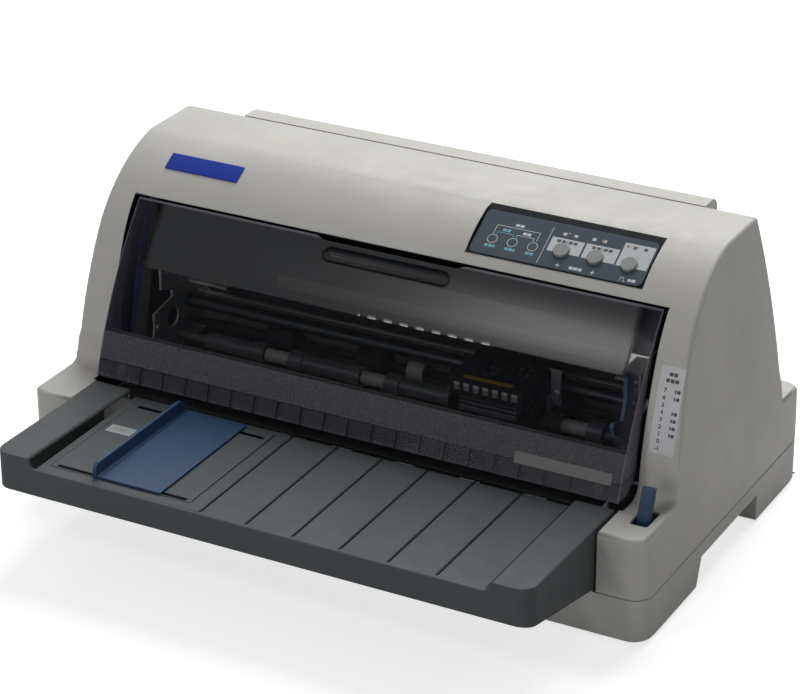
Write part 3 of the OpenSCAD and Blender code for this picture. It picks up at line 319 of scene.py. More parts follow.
def cast_metal(name, colour_value, rough=0.5, metallic=0.75):
    """Die-cast metal, slightly grainy, with darker and lighter patches."""
    f = Finish(name)
    patch = f.spread(f.noise(0.006, 4), 0.35, 0.7)
    f.use("Base Color", f.blend(patch, shade(colour_value, 0.8), shade(colour_value, 1.15)))
    f.rough(0.002, rough - 0.1, rough + 0.12, detail=3)
    f.relief(0.0007, 0.00006, 3)
    f.fix("Metallic", metallic)
    return f.material


def ink(name, colour_value, rough=0.6):
    """Screen-printed ink, worn thin in tiny spots."""
    f = Finish(name)
    worn = f.spread(f.noise(0.0007, 4), 0.6, 0.8)
    f.use("Base Color", f.blend(f.times(worn, 0.35), colour_value, shade(colour_value, 0.6)))
    f.rough(0.002, rough - 0.08, rough + 0.08)
    f.relief(0.0005, 0.00001)
    return f.material


def film(name, colour_value, rough=0.34, sheen=0.4):
    """Thin printed film with a slight orange-peel surface."""
    f = Finish(name)
    f.use("Base Color", f.blend(f.noise(0.01, 3), shade(colour_value, 0.93), shade(colour_value, 1.07)))
    f.rough(0.0022, rough - 0.06, rough + 0.08)
    f.relief(0.0013, 0.00002)
    f.fix("Specular IOR Level", sheen)
    return f.material


def board_lacquer(name, colour_value):
    """Circuit board: copper tracks under green lacquer."""
    f = Finish(name)
    black, white = (0, 0, 0, 1), (1, 1, 1, 1)
    tracks = f.node("ShaderNodeTexBrick", [("Vector", f.place), ("Scale", 130.0), ("Mortar Size", 0.05),
                                           ("Color1", black), ("Color2", black), ("Mortar", white)])
    on_track = f.times(tracks.outputs["Fac"], f.spread(f.noise(0.006), 0.42, 0.5))
    f.use("Base Color", f.blend(on_track, colour_value, shade(colour_value, 2.4)))
    f.rough(0.004, 0.24, 0.4)
    f.use("Normal", f.bump(on_track, 0.00003))
    return f.material


def glowing_pipe(name, colour_value):
    """Milky light pipe."""
    f = Finish(name)
    f.use("Base Color", f.blend(f.noise(0.001), shade(colour_value, 0.8), shade(colour_value, 1.2)))
    f.rough(0.0006, 0.2, 0.35)
    f.fix("Transmission Weight", 0.25)
    return f.material


@cache
def finish(name):
    """The finish of that name, made when it is first asked for."""
    c, grain, satin = colours(), sizes().case_grain, (0.38, 0.5)
    maker, *values = {
        "case_plastic": (moulded, c.case, grain),
        "base_plastic": (moulded, c.base, grain),
        "foot_rubber": (rubber, tone(42, 43, 46)),
        "badge_blue": (film, c.plate, 0.26, 0.15),
        "panel_dark": (film, c.panel, 0.42, 0.15),
        "light_pipe": (glowing_pipe, tone(188, 150, 120)),
        "button_grey": (moulded, c.button, 0.0003, (0.34, 0.46)),
        "smoked_cover": (smoked_sheet, c.smoke),
        "white_plastic": (moulded, tone(214, 214, 220), 0.0005, (0.35, 0.5)),
        "tray_plastic": (moulded, c.tray, 0.0005, (0.46, 0.6), 0.00006, 0.05, 0.05, 0.2),
        "lever_blue": (moulded, c.lever, 0.0004, satin, 0.00004, 0.06, 0.05, 0.25),
        "light_blue": (moulded, tone(120, 158, 198), 0.0004, satin),
        "sheet_steel": (streaked_metal, tone(176, 180, 184), 0.36, "Z"),
        "dark_plastic": (moulded, tone(38, 40, 42), 0.0004, (0.36, 0.5), 0.00005, 0.08, 0.1, 0.2),
        # painted shade: the inside of the case is the same light plastic, painted dark here to stand for the
        # shade inside it
        "shield_coat": (moulded, tone(24, 29, 31), 0.0006, (0.6, 0.75), 0.00006, 0.1, 0.1, 0.1),
        "cut_edge": (cast_metal, tone(226, 226, 230), 0.45, 0.2),
        "fin_grey": (moulded, tone(150, 148, 154), 0.0004),
        "shaft_steel": (streaked_metal, tone(196, 198, 202), 0.22, "X"),
        "dark_steel": (streaked_metal, tone(62, 66, 70), 0.3, "X", 0.7),
        "roller_rubber": (rubber, tone(46, 47, 50)),
        "gear_plastic": (moulded, tone(224, 221, 208), 0.0006, (0.3, 0.42)),
        "pinion_brass": (streaked_metal, tone(206, 172, 98), 0.28, "X"),
        "motor_metal": (streaked_metal, tone(118, 121, 126), 0.4, "Y"),
        "grey_roller": (moulded, tone(112, 116, 120), 0.0004, (0.34, 0.48)),
        "head_metal": (cast_metal, tone(122, 126, 132)),
        "board_green": (board_lacquer, tone(44, 100, 66)),
        "rail_steel": (streaked_metal, tone(250, 234, 220), 0.5, "X", 0.0),
        "white_ink": (ink, tone(216, 220, 222)),
        "cyan_ink": (ink, tone(110, 180, 196)),
        "block_film": (film, tone(206, 211, 213), 0.4),
        "dark_ink": (ink, tone(66, 70, 76)),
        "label_film": (film, tone(228, 228, 232), 0.3),
        "yellow_film": (film, tone(196, 160, 60), 0.36),
        "strip_blue": (film, tone(150, 158, 255), 0.3),
        "scale_film": (film, tone(176, 182, 180), 0.36),
        "plate_film": (film, tone(98, 96, 96), 0.34),
        "screw_steel": (streaked_metal, tone(170, 172, 176), 0.3, "Z"),
        "tin_pins": (streaked_metal, tone(200, 196, 180), 0.3, "Z"),
    }[name]
    return maker(name, *values)


# ---- meshes ----
def made_object(name, mesh):
    obj = bpy.data.objects.new(name, mesh)
    bpy.context.scene.collection.objects.link(obj)
    return obj


def mesh_object(name, bm, *finishes):
    mesh = bpy.data.meshes.new(name)
    bmesh.ops.recalc_face_normals(bm, faces=bm.faces)
    bm.to_mesh(mesh)
    bm.free()
    for f in finishes:
        mesh.materials.append(finish(f))
    return made_object(name, mesh)


def smooth_by_angle(mesh):
    for face in mesh.polygons:
        face.use_smooth = True
    mesh.set_sharp_from_angle(angle=math.radians(30))


WELD = 0.002  # points closer than this, in mm, become one


def rounded(obj, radius, segments=3, degrees=38, weighted=False):
    """A bevel along the sharp edges, and normals that keep flat faces flat."""
    smooth_by_angle(obj.data)
    bevel = obj.modifiers.new("edges", "BEVEL")
    bevel.width = radius
    bevel.segments = segments
    bevel.limit_method = "WEIGHT" if weighted else "ANGLE"
    bevel.angle_limit = math.radians(degrees)
    bevel.use_clamp_overlap = False
    bevel.miter_outer = "MITER_ARC"
    bevel.harden_normals = True
    return obj


def merged_copy(node, weld=WELD):
    """A copy of a CAD node's mesh with its loose triangles joined into whole faces; weld is in mm."""
    mesh = frame["nodes"][node].data.copy()
    mesh.name = node + "_shell"
    if "custom_normal" in mesh.attributes:
        mesh.attributes.remove(mesh.attributes["custom_normal"])
    bm = bmesh.new()
    bm.from_mesh(mesh)
    bmesh.ops.remove_doubles(bm, verts=bm.verts, dist=weld * MM)
    seam = {v for e in bm.edges if len(e.link_faces) > 2 for v in e.verts}
    inside = [f for f in bm.faces if all(v in seam for v in f.verts)]
    bmesh.ops.delete(bm, geom=inside, context="FACES_ONLY")
    bmesh.ops.dissolve_limit(bm, angle_limit=math.radians(0.4), verts=bm.verts, edges=bm.edges)
    bm.to_mesh(mesh)
    bm.free()
    mesh.materials.clear()
    mesh.materials.append(finish(SLOT_OF[node]))
    return made_object(mesh.name, mesh)


def painted(obj, finish_name, chosen):
    """A second finish on the faces that a test of centre in mm and normal picks."""
    obj.data.materials.append(finish(finish_name))
    for face in obj.data.polygons:
        if chosen(face.center / MM, face.normal):
            face.material_index = 1


def stand_for(obj, *nodes):
    """The piece shows in place of these CAD nodes and rides with their body."""
    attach(obj, BODY_OF[nodes[0]])
    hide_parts(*nodes)
    return obj


def ride_with(obj, node):
    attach(obj, BODY_OF[node])
    return obj


def rounded_node(node, radius, segments=2, degrees=38):
    return stand_for(rounded(merged_copy(node), radius, segments, degrees), node)


def bridge(bm, low, high, slot=0):
    """Faces between two loops of as many points; the ends stay open."""
    for i in range(len(low)):
        j = (i + 1) % len(low)
        bm.faces.new((low[i], low[j], high[j], high[i])).material_index = slot


def slab(bm, place, outline, z0, z1, slot=0):
    """A flat shape given as (u, v) points in mm, raised from z0 to z1 mm over a plane."""
    low, high = ([bm.verts.new(place @ (Vector((u, v, z)) * MM)) for u, v in outline] for z in (z0, z1))
    for end in (low[::-1], high):
        bm.faces.new(end).material_index = slot
    bridge(bm, low, high, slot)


def rectangle(u0, u1, v0, v1, corner=0.0, steps=4):
    if corner <= 0:
        return [(u0, v0), (u1, v0), (u1, v1), (u0, v1)]
    points = []
    for cu, cv, start in ((u1 - corner, v0 + corner, -90), (u1 - corner, v1 - corner, 0),
                          (u0 + corner, v1 - corner, 90), (u0 + corner, v0 + corner, 180)):
        for k in range(steps + 1):
            a = math.radians(start + 90 * k / steps)
            points.append((cu + corner * math.cos(a), cv + corner * math.sin(a)))
    return points


def line(points, width):
    """Outlines of the straight strokes through some points."""
    strokes = []
    for (a, b), (c, d) in zip(points, points[1:]):
        size = math.hypot(c - a, d - b)
        du, dv = (c - a) / size * width / 2, (d - b) / size * width / 2
        strokes.append([(a - du + dv, b - dv - du), (c + du + dv, d + dv - du),
                        (c + du - dv, d + dv + du), (a - du - dv, b - dv + du)])
    return strokes


def ring(bm, place, u, v, outer, inner, z0, z1, slot=0, steps=40):
    """A flat ring round (u, v), its radii in mm, raised from z0 to z1."""
    loops = []
    for radius, z in ((outer, z0), (outer, z1), (inner, z1), (inner, z0)):
        turns = (math.tau * k / steps for k in range(steps))
        points = (Vector((u + radius * math.cos(a), v + radius * math.sin(a), z)) for a in turns)
        loops.append([bm.verts.new(place @ (p * MM)) for p in points])
    for a, b in zip(loops, loops[1:] + loops[:1]):
        bridge(bm, a, b, slot)


def marks(bm, place, u, v, widths, height, z0, z1, slot=0, gap=0.5):
    """A short row of plain bars, centred on (u, v)."""
    start = u - (sum(widths) + gap * (len(widths) - 1)) / 2
    for width in widths:
        bar = rectangle(start, start + width, v - height / 2, v + height / 2, 0.12, 2)
        slab(bm, place, bar, z0, z1, slot)
        start += width + gap


def strip(bm, u0, u1, v0, v1, z0, z1, steps=12, corner=0.6):
    """A thin flat sheet with clipped corners, cut into rows so that it can be bent."""
    rows = [(v0, corner), (v0 + corner, 0)]
    rows += [(v0 + (v1 - v0) * k / steps, 0) for k in range(1, steps)]
    rows += [(v1 - corner, 0), (v1, corner)]
    loops = [[bm.verts.new(Vector(p) * MM) for p in ((u0 + inset, v, z0), (u1 - inset, v, z0),
                                                     (u1 - inset, v, z1), (u0 + inset, v, z1))]
             for v, inset in rows]
    for a, b in zip(loops, loops[1:]):
        bridge(bm, a, b)
    bm.faces.new(loops[0])
    bm.faces.new(loops[-1][::-1])


def bent(bm, centre, radius, x, middle):
    """Lays what is drawn flat in mm (across, along, height) round an arc of the side view."""
    start = math.asin((middle - centre[1]) / radius)
    for v in bm.verts:
        across, along, height = v.co / MM
        angle, r = start + along / radius, radius + height
        y, z = centre[0] - r * math.cos(angle), centre[1] + r * math.sin(angle) + FOOT
        v.co = Vector((x + across, y, z)) * MM


def numerals(bm, words, size, low, depth, slot):
    """Plain numbers, drawn flat; words are (text, u, v) in mm."""
    for text, u, v in words:
        curve = bpy.data.curves.new("numeral", "FONT")
        curve.body, curve.size = text, size * MM
        curve.align_x, curve.align_y = "CENTER", "CENTER"
        curve.extrude, curve.resolution_u, curve.offset = depth / 2 * MM, 3, 0.13 * MM
        holder = made_object("numeral", curve)
        mesh = bpy.data.meshes.new_from_object(holder.evaluated_get(bpy.context.evaluated_depsgraph_get()))
        mesh.transform(Matrix.Translation((u * MM, v * MM, (low + depth / 2) * MM)))
        first = len(bm.faces)
        bm.from_mesh(mesh)
        bm.faces.ensure_lookup_table()
        for face in bm.faces[first:]:
            face.material_index = slot
        bpy.data.objects.remove(holder)
    bmesh.ops.remove_doubles(bm, verts=bm.verts, dist=1e-7)


def turned(profile, steps=20):
    """A turned solid from a profile of (radius, height) in mm, as a bmesh."""
    bm = bmesh.new()
    rows = []
    for radius, z in profile:
        turns = [math.tau * k / steps for k in range(steps if radius else 1)]
        points = (Vector((radius * math.cos(a), radius * math.sin(a), z)) for a in turns)
        rows.append([bm.verts.new(p * MM) for p in points])
    for a, b in zip(rows, rows[1:]):
        tip, rim = sorted((a, b), key=len)
        if len(tip) > 1:
            bridge(bm, a, b)
            continue
        for k in range(steps):
            bm.faces.new((tip[0], rim[k - 1], rim[k]))
    return bm


# ---- repeated pieces ----
def tree_with(name, sockets):
    tree = bpy.data.node_groups.new(name, "GeometryNodeTree")
    tree.interface.new_socket(name="Geometry", in_out="INPUT", socket_type="NodeSocketGeometry")
    for label, kind in sockets:
        tree.interface.new_socket(name=label, in_out="INPUT", socket_type=kind)
    tree.interface.new_socket(name="Geometry", in_out="OUTPUT", socket_type="NodeSocketGeometry")
    return tree, tree.nodes.new("NodeGroupInput"), tree.nodes.new("NodeGroupOutput")


def copies_on(tree, start, points):
    """The node that sets copies of the element on points."""
    copies, element = (tree.nodes.new("GeometryNode" + kind) for kind in ("InstanceOnPoints", "ObjectInfo"))
    tree.links.new(points, copies.inputs["Points"])
    tree.links.new(start.outputs["Element"], element.inputs["Object"])
    tree.links.new(element.outputs["Geometry"], copies.inputs["Instance"])
    return copies


def close_tree(tree, start, end, instances):
    """Every tree ends in real geometry with its finish."""
    real = tree.nodes.new("GeometryNodeRealizeInstances")
    paint = tree.nodes.new("GeometryNodeSetMaterial")
    tree.links.new(instances, real.inputs[0])
    tree.links.new(real.outputs[0], paint.inputs["Geometry"])
    tree.links.new(start.outputs["Finish"], paint.inputs["Material"])
    tree.links.new(paint.outputs[0], end.inputs[0])
    return tree


@cache
def grid_tree():
    """Copies of an element on a grid: Count x Rows, Step apart."""
    tree, start, end = tree_with("element grid", [
        ("Element", "NodeSocketObject"), ("Count", "NodeSocketInt"), ("Rows", "NodeSocketInt"),
        ("Start", "NodeSocketVector"), ("Step", "NodeSocketVector"), ("Row Step", "NodeSocketVector"),
        ("Finish", "NodeSocketMaterial")])
    row, column, across, points = (tree.nodes.new("GeometryNode" + kind) for kind in (
        "MeshLine", "MeshLine", "InstanceOnPoints", "RealizeInstances"))
    link = tree.links.new
    for node, count, step in ((row, "Count", "Step"), (column, "Rows", "Row Step")):
        link(start.outputs[count], node.inputs["Count"])
        link(start.outputs[step], node.inputs["Offset"])
    link(start.outputs["Start"], column.inputs["Start Location"])
    link(column.outputs[0], across.inputs["Points"])
    link(row.outputs[0], across.inputs["Instance"])
    link(across.outputs[0], points.inputs[0])
    return close_tree(tree, start, end, copies_on(tree, start, points.outputs[0]).outputs[0])


@cache
def facing_tree():
    """Copies of an element on the mesh's own points, each turned to the point's facing."""
    tree, start, end = tree_with("facing copies", [
        ("Element", "NodeSocketObject"), ("Scale", "NodeSocketFloat"), ("Finish", "NodeSocketMaterial")])
    facing = tree.nodes.new("GeometryNodeInputNamedAttribute")
    turn = tree.nodes.new("FunctionNodeAlignRotationToVector")
    facing.data_type = "FLOAT_VECTOR"
    facing.inputs["Name"].default_value = "facing"
    turn.axis = "Z"
    copies = copies_on(tree, start, start.outputs["Geometry"])
    tree.links.new(facing.outputs["Attribute"], turn.inputs["Vector"])
    tree.links.new(turn.outputs[0], copies.inputs["Rotation"])
    tree.links.new(start.outputs["Scale"], copies.inputs["Scale"])
    return close_tree(tree, start, end, copies.outputs[0])


def grown(name, builder, element, finish_name, mesh=None, **inputs):
    """A plain mesh grown by a tree from one element, whose own object is then removed."""
    tree = builder()
    obj = made_object(name, mesh or bpy.data.meshes.new(name))
    modifier = obj.modifiers.new("grow", "NODES")
    modifier.node_group = tree
    values = {k.replace("_", " "): v for k, v in inputs.items()}
    values.update({"Element": element, "Finish": finish(finish_name)})
    for item in tree.interface.items_tree:
        if item.in_out == "INPUT" and item.name in values:
            modifier[item.identifier] = values[item.name]
    bpy.context.view_layer.update()
    plain = bpy.data.meshes.new_from_object(obj.evaluated_get(bpy.context.evaluated_depsgraph_get()))
    obj.modifiers.clear()
    obj.data = plain
    plain.name = name
    bpy.data.objects.remove(element)
    return obj


def facing_points(places):
    """Points with a facing direction each, from ((x, y, z), direction) in mm."""
    mesh = bpy.data.meshes.new("points")
    mesh.from_pydata([tuple(c * MM for c in p) for p, _ in places], [], [])
    layer = mesh.attributes.new("facing", "FLOAT_VECTOR", "POINT")
    for i, (_, direction) in enumerate(places):
        layer.data[i].vector = direction
    return mesh


def screw_head():
    """A low round head with a cross recess."""
    r = sizes().screw / MM
    bm = turned([(0, -0.3), (r, -0.3), (r, 0.45), (r * 0.86, 0.95), (r * 0.5, 1.22), (0, 1.28)])
    for turn in (0, math.pi / 2):
        place = Matrix.Rotation(turn + 0.5, 4, "Z")
        slab(bm, place, rectangle(-r * 0.62, r * 0.62, -0.42, 0.42), 1.24, 1.34)
    return mesh_object("screw head", bm)


def bars(name, node, size, start, step, count, paint, rows=1, row_step=(0, 0, 0)):
    """Equal small bars on a grid, riding with a node; size is x, y, z and the edges' bevel, all in mm."""
    bm = bmesh.new()
    bmesh.ops.create_cube(bm, size=1)
    bmesh.ops.scale(bm, vec=Vector(size[:3]) * MM, verts=bm.verts)
    bmesh.ops.bevel(bm, geom=bm.edges[:], offset=size[3] * MM, segments=1, affect="EDGES")
    x, y, z = start
    ride_with(grown(name, grid_tree, mesh_object("bar", bm), paint, Count=count, Rows=rows,
                    Start=(x * MM, y * MM, (z + FOOT) * MM), Step=[c * MM for c in step],
                    Row_Step=[c * MM for c in row_step]), node)


def screws(name, node, places):
    """Screw heads that stand on the places, facing each place's direction."""
    heads = grown(name, facing_tree, screw_head(), "screw_steel", facing_points(places), Scale=1.0)
    ride_with(heads, node)


# ---- planes that marks lie on ----
def plane(origin, along, up):
    """Matrix of a plane: u runs along, v up, and height stands out of it. Origin in mm."""
    x = Vector(along).normalized()
    z = x.cross(Vector(up)).normalized()
    y = z.cross(x)
    return Matrix.Translation(Vector(origin) * MM) @ Matrix((x, y, z)).transposed().to_4x4()


FLAT = Matrix()  # marks drawn here are bent round an arc afterwards
TILT = math.radians(29.9)
PANEL = plane((119.7, 35, 213.4 + FOOT), (1, 0, 0), (0, math.cos(TILT), math.sin(TILT)))
TOP_ARC = (81, 130.4, 97.7)  # side view of the hump: y, z and radius of its arcs, mm
FRONT_ARC = (273, 46.5, 307.3)
BACK_ARC = (-409.3, 12, 563.5)
COVER_ARC = (265.3, -25.7, 338.2)
ARCS_MEET = 169.8  # height where the hump's front and top arcs meet
CASE_HALF = 240  # half the width of its lower part
TAPER, TAPER_FROM, TAPER_RISE = 13.5, 31.1, 194.9  # how far the sides lean in, from where, over what height
INNER = 1.7  # anything deeper than this lies on the inner side of a wall
PARTING = 36  # height of the joint between the case halves
CORNER_X, CORNER_FRONT, CORNER_BACK = 226, -75, 170  # middles of the case's corner rounds
BACK_OPENINGS = (178, 38, 64, 222)  # the back wall's openings lie beyond y, from z to z, within a half width


class PieceOperator:
    """Rounds the nodes that the operator lists with radius, segments and degrees, then builds the rest."""
    bl_options = {"REGISTER", "UNDO"}
    nodes = {}

    def execute(self, context):
        for node, rounding in self.nodes.items():
            rounded_node(node, *rounding)
        self.build()
        return {"FINISHED"}

    def build(self):
        """Nothing more for an operator that only rounds its nodes."""


def half_width(z):
    """Half the width of the case at a height in mm over its lower edge."""
    return CASE_HALF - TAPER * max(0, z - TAPER_FROM) / TAPER_RISE


def inside_hump(centre, normal):
    """True where a face lies on the inner side of the hump's wall, or of the back wall below the hump; these
    faces take a dark painted shade.
    """
    x, y, z = centre.x, centre.y, centre.z - FOOT
    if abs(x) > half_width(z) - INNER:
        return False
    if z < 79 or z > 224:
        return 45 < z < 79 and 150 < y < 181.5 and normal.y < -0.5
    arcs = (TOP_ARC, FRONT_ARC, BACK_ARC)
    top, front, back = (math.hypot(y - cy, z - cz) < radius - INNER for cy, cz, radius in arcs)
    return back and (top or y > TOP_ARC[0] if z > ARCS_MEET else front)


class PRINTER_OT_case(PieceOperator, bpy.types.Operator):
    """Moulds the case halves and the rear hood with rounded outer edges"""
    bl_idname = "printer.case"
    bl_label = "Case"

    def build(self):
        s = sizes()
        thin = s.wall_edge / s.case_edge
        for node in ("upper_case", "lower_case", "rear_hood"):
            obj = merged_copy(node, 0.12 if node == "upper_case" else WELD)
            if node == "upper_case":
                # the inner faces of the hump get the dark painted shade
                painted(obj, "shield_coat", inside_hump)
            bm = bmesh.new()
            bm.from_mesh(obj.data)
            weight = bm.edges.layers.float.new("bevel_weight_edge")
            for edge in bm.edges:
                if len(edge.link_faces) == 2 and edge.calc_face_angle(0) >= math.radians(38):
                    edge[weight] = self.weight_of(edge, node, thin)
            bm.to_mesh(obj.data)
            bm.free()
            stand_for(rounded(obj, s.case_edge, 4, weighted=True), node)
        self.rim_wall()

    @staticmethod
    def weight_of(edge, node, thin):
        """Bevel weight of a sharp edge: 1 on outer edges, thin on walls, 0 where a bevel would tear."""
        a, b = (v.co / MM for v in edge.verts)
        middle = (a + b) / 2
        x, y, z = abs(middle.x), middle.y, middle.z - FOOT
        from_corner = math.hypot(max(0, x - CORNER_X), max(0, CORNER_FRONT - y, y - CORNER_BACK))
        outer = (x > half_width(z) - 0.2 or from_corner > 13.7 or y < -88.8 or y > 183.8 or z + FOOT > 228.3)
        if from_corner > 9 and abs(b.z - a.z) > 0.8 * (b - a).length:
            return 0
        back, low, high, aside = BACK_OPENINGS
        if node == "upper_case" and y > back and low < z < high and x < aside:
            return 0
        if z < PARTING and outer:
            return thin if middle.z > 10 else 0.55
        if node == "rear_hood":
            return 0 if min(a.y, b.y) < 113.5 else thin
        return 1.0 if outer and edge.is_convex and z > PARTING else thin

    @staticmethod
    def rim_wall():
        """The wall inside the window's left edge, with its bare blue strip"""
        bm = bmesh.new()
        side = plane((-207.75, 0, FOOT), (0, 1, 0), (0, 0, 1))
        front = []
        for k in range(13):
            z = 84 + k * 9
            cy, cz, r = FRONT_ARC if z < ARCS_MEET else TOP_ARC
            front.append((cy - math.sqrt(r * r - (z - cz) ** 2) + 1.4, z))
        slab(bm, side, [*front, (38, 186), (38, 176), (13.5, 80), (-10, 80)], -1.4, 0, 0)
        slab(bm, side, [(-19, 94), (-3, 86), (30, 178), (8, 190)], -0.05, 0.12, 1)
        ride_with(mesh_object("rim_wall", bm, "case_plastic", "strip_blue"), "upper_case")


class PRINTER_OT_feet(PieceOperator, bpy.types.Operator):
    """Rubber feet and the screws beside them"""
    bl_idname = "printer.feet"
    bl_label = "Feet"
    nodes = {"rubber_feet": (0.0006,)}

    def build(self):
        places = [((x, y, FOOT + 0.3), (0, 0, -1)) for x in (-227, 227) for y in (-77, 168)]
        screws("base_screws", "lower_case", places)


class PRINTER_OT_badge(PieceOperator, bpy.types.Operator):
    """Bare blue plate on the front of the case"""
    bl_idname = "printer.badge"
    bl_label = "Blue plate"
    nodes = {"badge_plate": (0.0004, 3)}


class PRINTER_OT_panel(PieceOperator, bpy.types.Operator):
    """Control panel face with its printed marks, lights and buttons"""
    bl_idname = "printer.panel"
    bl_label = "Control panel"
    nodes = {"panel_plate": (0.00025, 2), "panel_lights": (0.0002, 2),
             **dict.fromkeys(("button_pause", "button_load", "button_feed"), (0.0007, 4))}

    def build(self):
        top = 1.2
        z0, z1 = top - 0.02, top + sizes().ink / MM
        bm = bmesh.new()
        white, cyan, block, dark = range(4)
        for u in (-51.1, -36.1, -20.9):
            ring(bm, PANEL, u, -8, 3.7, 3.25, z0, z1, white)
        for points, slot in (
            ([(-52.2, -3.8), (-52.2, 4), (-20, 4), (-20, -3.6)], white),
            ([(-49.8, -3.6), (-49.8, -1.6), (-37.6, -1.6), (-37.6, -3.6)], cyan),
            ([(-35, -3.6), (-35, -1.4), (-22.3, -1.4), (-22.3, -3.6)], white),
            ([(-12.8, -19.8), (-12.8, 11)], white),
            ([(48, -20), (48, -17), (50.4, -17), (50.4, -20), (51.6, -20)], white),
        ):
            for stroke in line(points, 0.42):
                slab(bm, PANEL, stroke, z0, z1, slot)
        for u, v, widths, slot in (
            (-36.3, 6.6, (2.9, 2.9), white), (-43.8, 0.8, (2.7, 2.7), cyan), (-28.7, 0.9, (2.7, 2.7), white),
            (-50.6, -14, (2.6, 2.6, 1.5), cyan), (-35.6, -14, (2.6, 2.6, 1.5), cyan),
            (-20.9, -14, (2.7, 2.7), cyan), (-3, 7.5, (2.6,), white), (5.2, 7.6, (2.6,), white),
            (18.4, 8, (2.6,), white), (26.2, 8.1, (2.6,), white),
            (15.2, -18.4, (2.8, 2.8, 2.8), white), (56.4, -18.4, (1.9, 3.1), white),
        ):
            marks(bm, PANEL, u, v, widths, 2.3, z0, z1, slot)
        for ends in ((-10.5, 13.4, -8.2, 3.8), (14.9, 39.2, -8.4, 3.9), (40.5, 62.8, -8.6, 10.9)):
            slab(bm, PANEL, rectangle(*ends), z0, z1, block)
        for u, v, widths in ((1.2, 1.2, (2.7, 2.7, 0.5, 2.7, 2.7)), (27, 1.3, (2.7, 2.7, 0.5, 2.7, 2.7)),
                             (48.4, 7.9, (2.6,)), (56.2, 7.9, (2.6,))):
            marks(bm, PANEL, u, v, widths, 2.4, z1 - 0.01, z1 + 0.05, dark, 0.9)
        ring(bm, PANEL, 43.5, 8, 0.85, 0.05, z1 - 0.01, z1 + 0.05, dark, 16)
        for u, v, long_ray in ((2, -18.3, 6), (27.8, -18.5, 2)):
            star = []
            for k in range(8):
                r, a = (1.9, 0.62)[k % 2], math.tau * k / 8
                star.append((u + r * math.cos(a), v + (r + 0.5 * (k == long_ray)) * math.sin(a)))
            slab(bm, PANEL, star, z0, z1, white)
        ride_with(mesh_object("panel_print", bm, "white_ink", "cyan_ink", "block_film", "dark_ink"),
                  "panel_plate")


class PRINTER_OT_cover(PieceOperator, bpy.types.Operator):
    """Curved smoked front cover with its bare plate"""
    bl_idname = "printer.cover"
    bl_label = "Front cover"
    nodes = {"front_cover": (0.0005, 2, 45), "hinge_bushes": (0.0003,)}

    def build(self):
        bm = bmesh.new()
        strip(bm, -35.5, 35.5, -4, 4, 0.02, 0.3, 4)
        bent(bm, COVER_ARC[:2], COVER_ARC[2], 161.5, 94.5)
        ride_with(mesh_object("cover_plate", bm, "plate_film"), "front_cover")


class PRINTER_OT_tray(PieceOperator, bpy.types.Operator):
    """Paper tray, the plate under the edge guide and its scale strip"""
    bl_idname = "printer.tray"
    bl_label = "Paper tray"

    def build(self):
        rounded_node("front_tray", sizes().tray_edge, 3, 40)
        rounded_node("guide_bed", 0.0004)
        bm = bmesh.new()
        bed = plane((0, 0, 72.5 + FOOT), (1, 0, 0), (0, 1, 0))
        slab(bm, bed, rectangle(-160.5, -129.5, -112, -101.5, 0.6, 2), -0.02, 0.1, 0)
        for u, count, height in ((-151, 6, 4), (-136.5, 4, 3)):
            marks(bm, bed, u, -106.6, (0.4,) * count, height, 0.08, 0.14, 1, 1.6)
        ride_with(mesh_object("tray_scale", bm, "scale_film", "dark_ink"), "guide_bed")


class PRINTER_OT_edge_guide(PieceOperator, bpy.types.Operator):
    """Sliding blue edge guide"""
    bl_idname = "printer.edge_guide"
    bl_label = "Edge guide"
    nodes = {"edge_guide": (0.0006, 3)}


class PRINTER_OT_thickness(PieceOperator, bpy.types.Operator):
    """Thickness lever, its numbered label and the raised scale beside the slot"""
    bl_idname = "printer.thickness"
    bl_label = "Thickness lever"
    nodes = {"thickness_lever": (0.0009, 4, 30), "lever_bracket": (0.0003,)}

    def build(self):
        bm = bmesh.new()
        strip(bm, -8.8, 8.8, -29.5, 29.5, -0.02, 0.1)
        low, high = 0.08, 0.14
        for v, count in ((24.4, 2), (20.1, 3)):
            marks(bm, FLAT, 0.6, v, (2.6,) * count, 2.5, low, high, 1, 0.6)
        rows = [13.4 - 4.9 * k for k in range(9)]
        for k in (0, 1, 3, 4, 5, 6):
            marks(bm, FLAT, 5.4, rows[k] + 0.2, (1.1, 2.3), 2.3, low, high, 1, 0.5)
        numerals(bm, [(str(7 - k), -3.4, v) for k, v in enumerate(rows)], 3.9, low, 0.06, 1)
        bent(bm, FRONT_ARC[:2], FRONT_ARC[2], 221.2, 137.2)
        ride_with(mesh_object("thickness_label", bm, "label_film", "dark_ink"), "upper_case")
        bars("lever_ticks", "upper_case", (2.4, 0.35, 0.3, 0.08), (213.8, -66.5, 76.6), (0, 2.2, 0),
             sizes().tick_count, "case_plastic")


class PRINTER_OT_rollers(PieceOperator, bpy.types.Operator):
    """Platen, feed rollers and the upper rollers with their shafts"""
    bl_idname = "printer.rollers"
    bl_label = "Rollers"
    nodes = {
        **dict.fromkeys(("platen_rubber", "front_rollers", "rear_rollers", "exit_rollers", "pinch_back"),
                        (0.0005, 3)),
        **dict.fromkeys(("pinch_front", "pinch_middle", "shaft_support"), (0.0006, 3)),
        **dict.fromkeys(("platen_shaft", "front_shaft", "rear_shaft", "exit_shaft"), (0.0004, 2)),
    }

    def build(self):
        painted(bpy.data.objects["pinch_middle_shell"], "white_plastic", self.pale_sleeve)

    @staticmethod
    def pale_sleeve(centre, normal):
        """True on the short pale sleeves of the middle shaft"""
        apart = min(abs(centre.x + 103.5 - 79 * k) for k in range(4))
        return 4.2 < math.hypot(centre.y - 30, centre.z - 80.6 - FOOT) < 5.6 and apart < 10.2


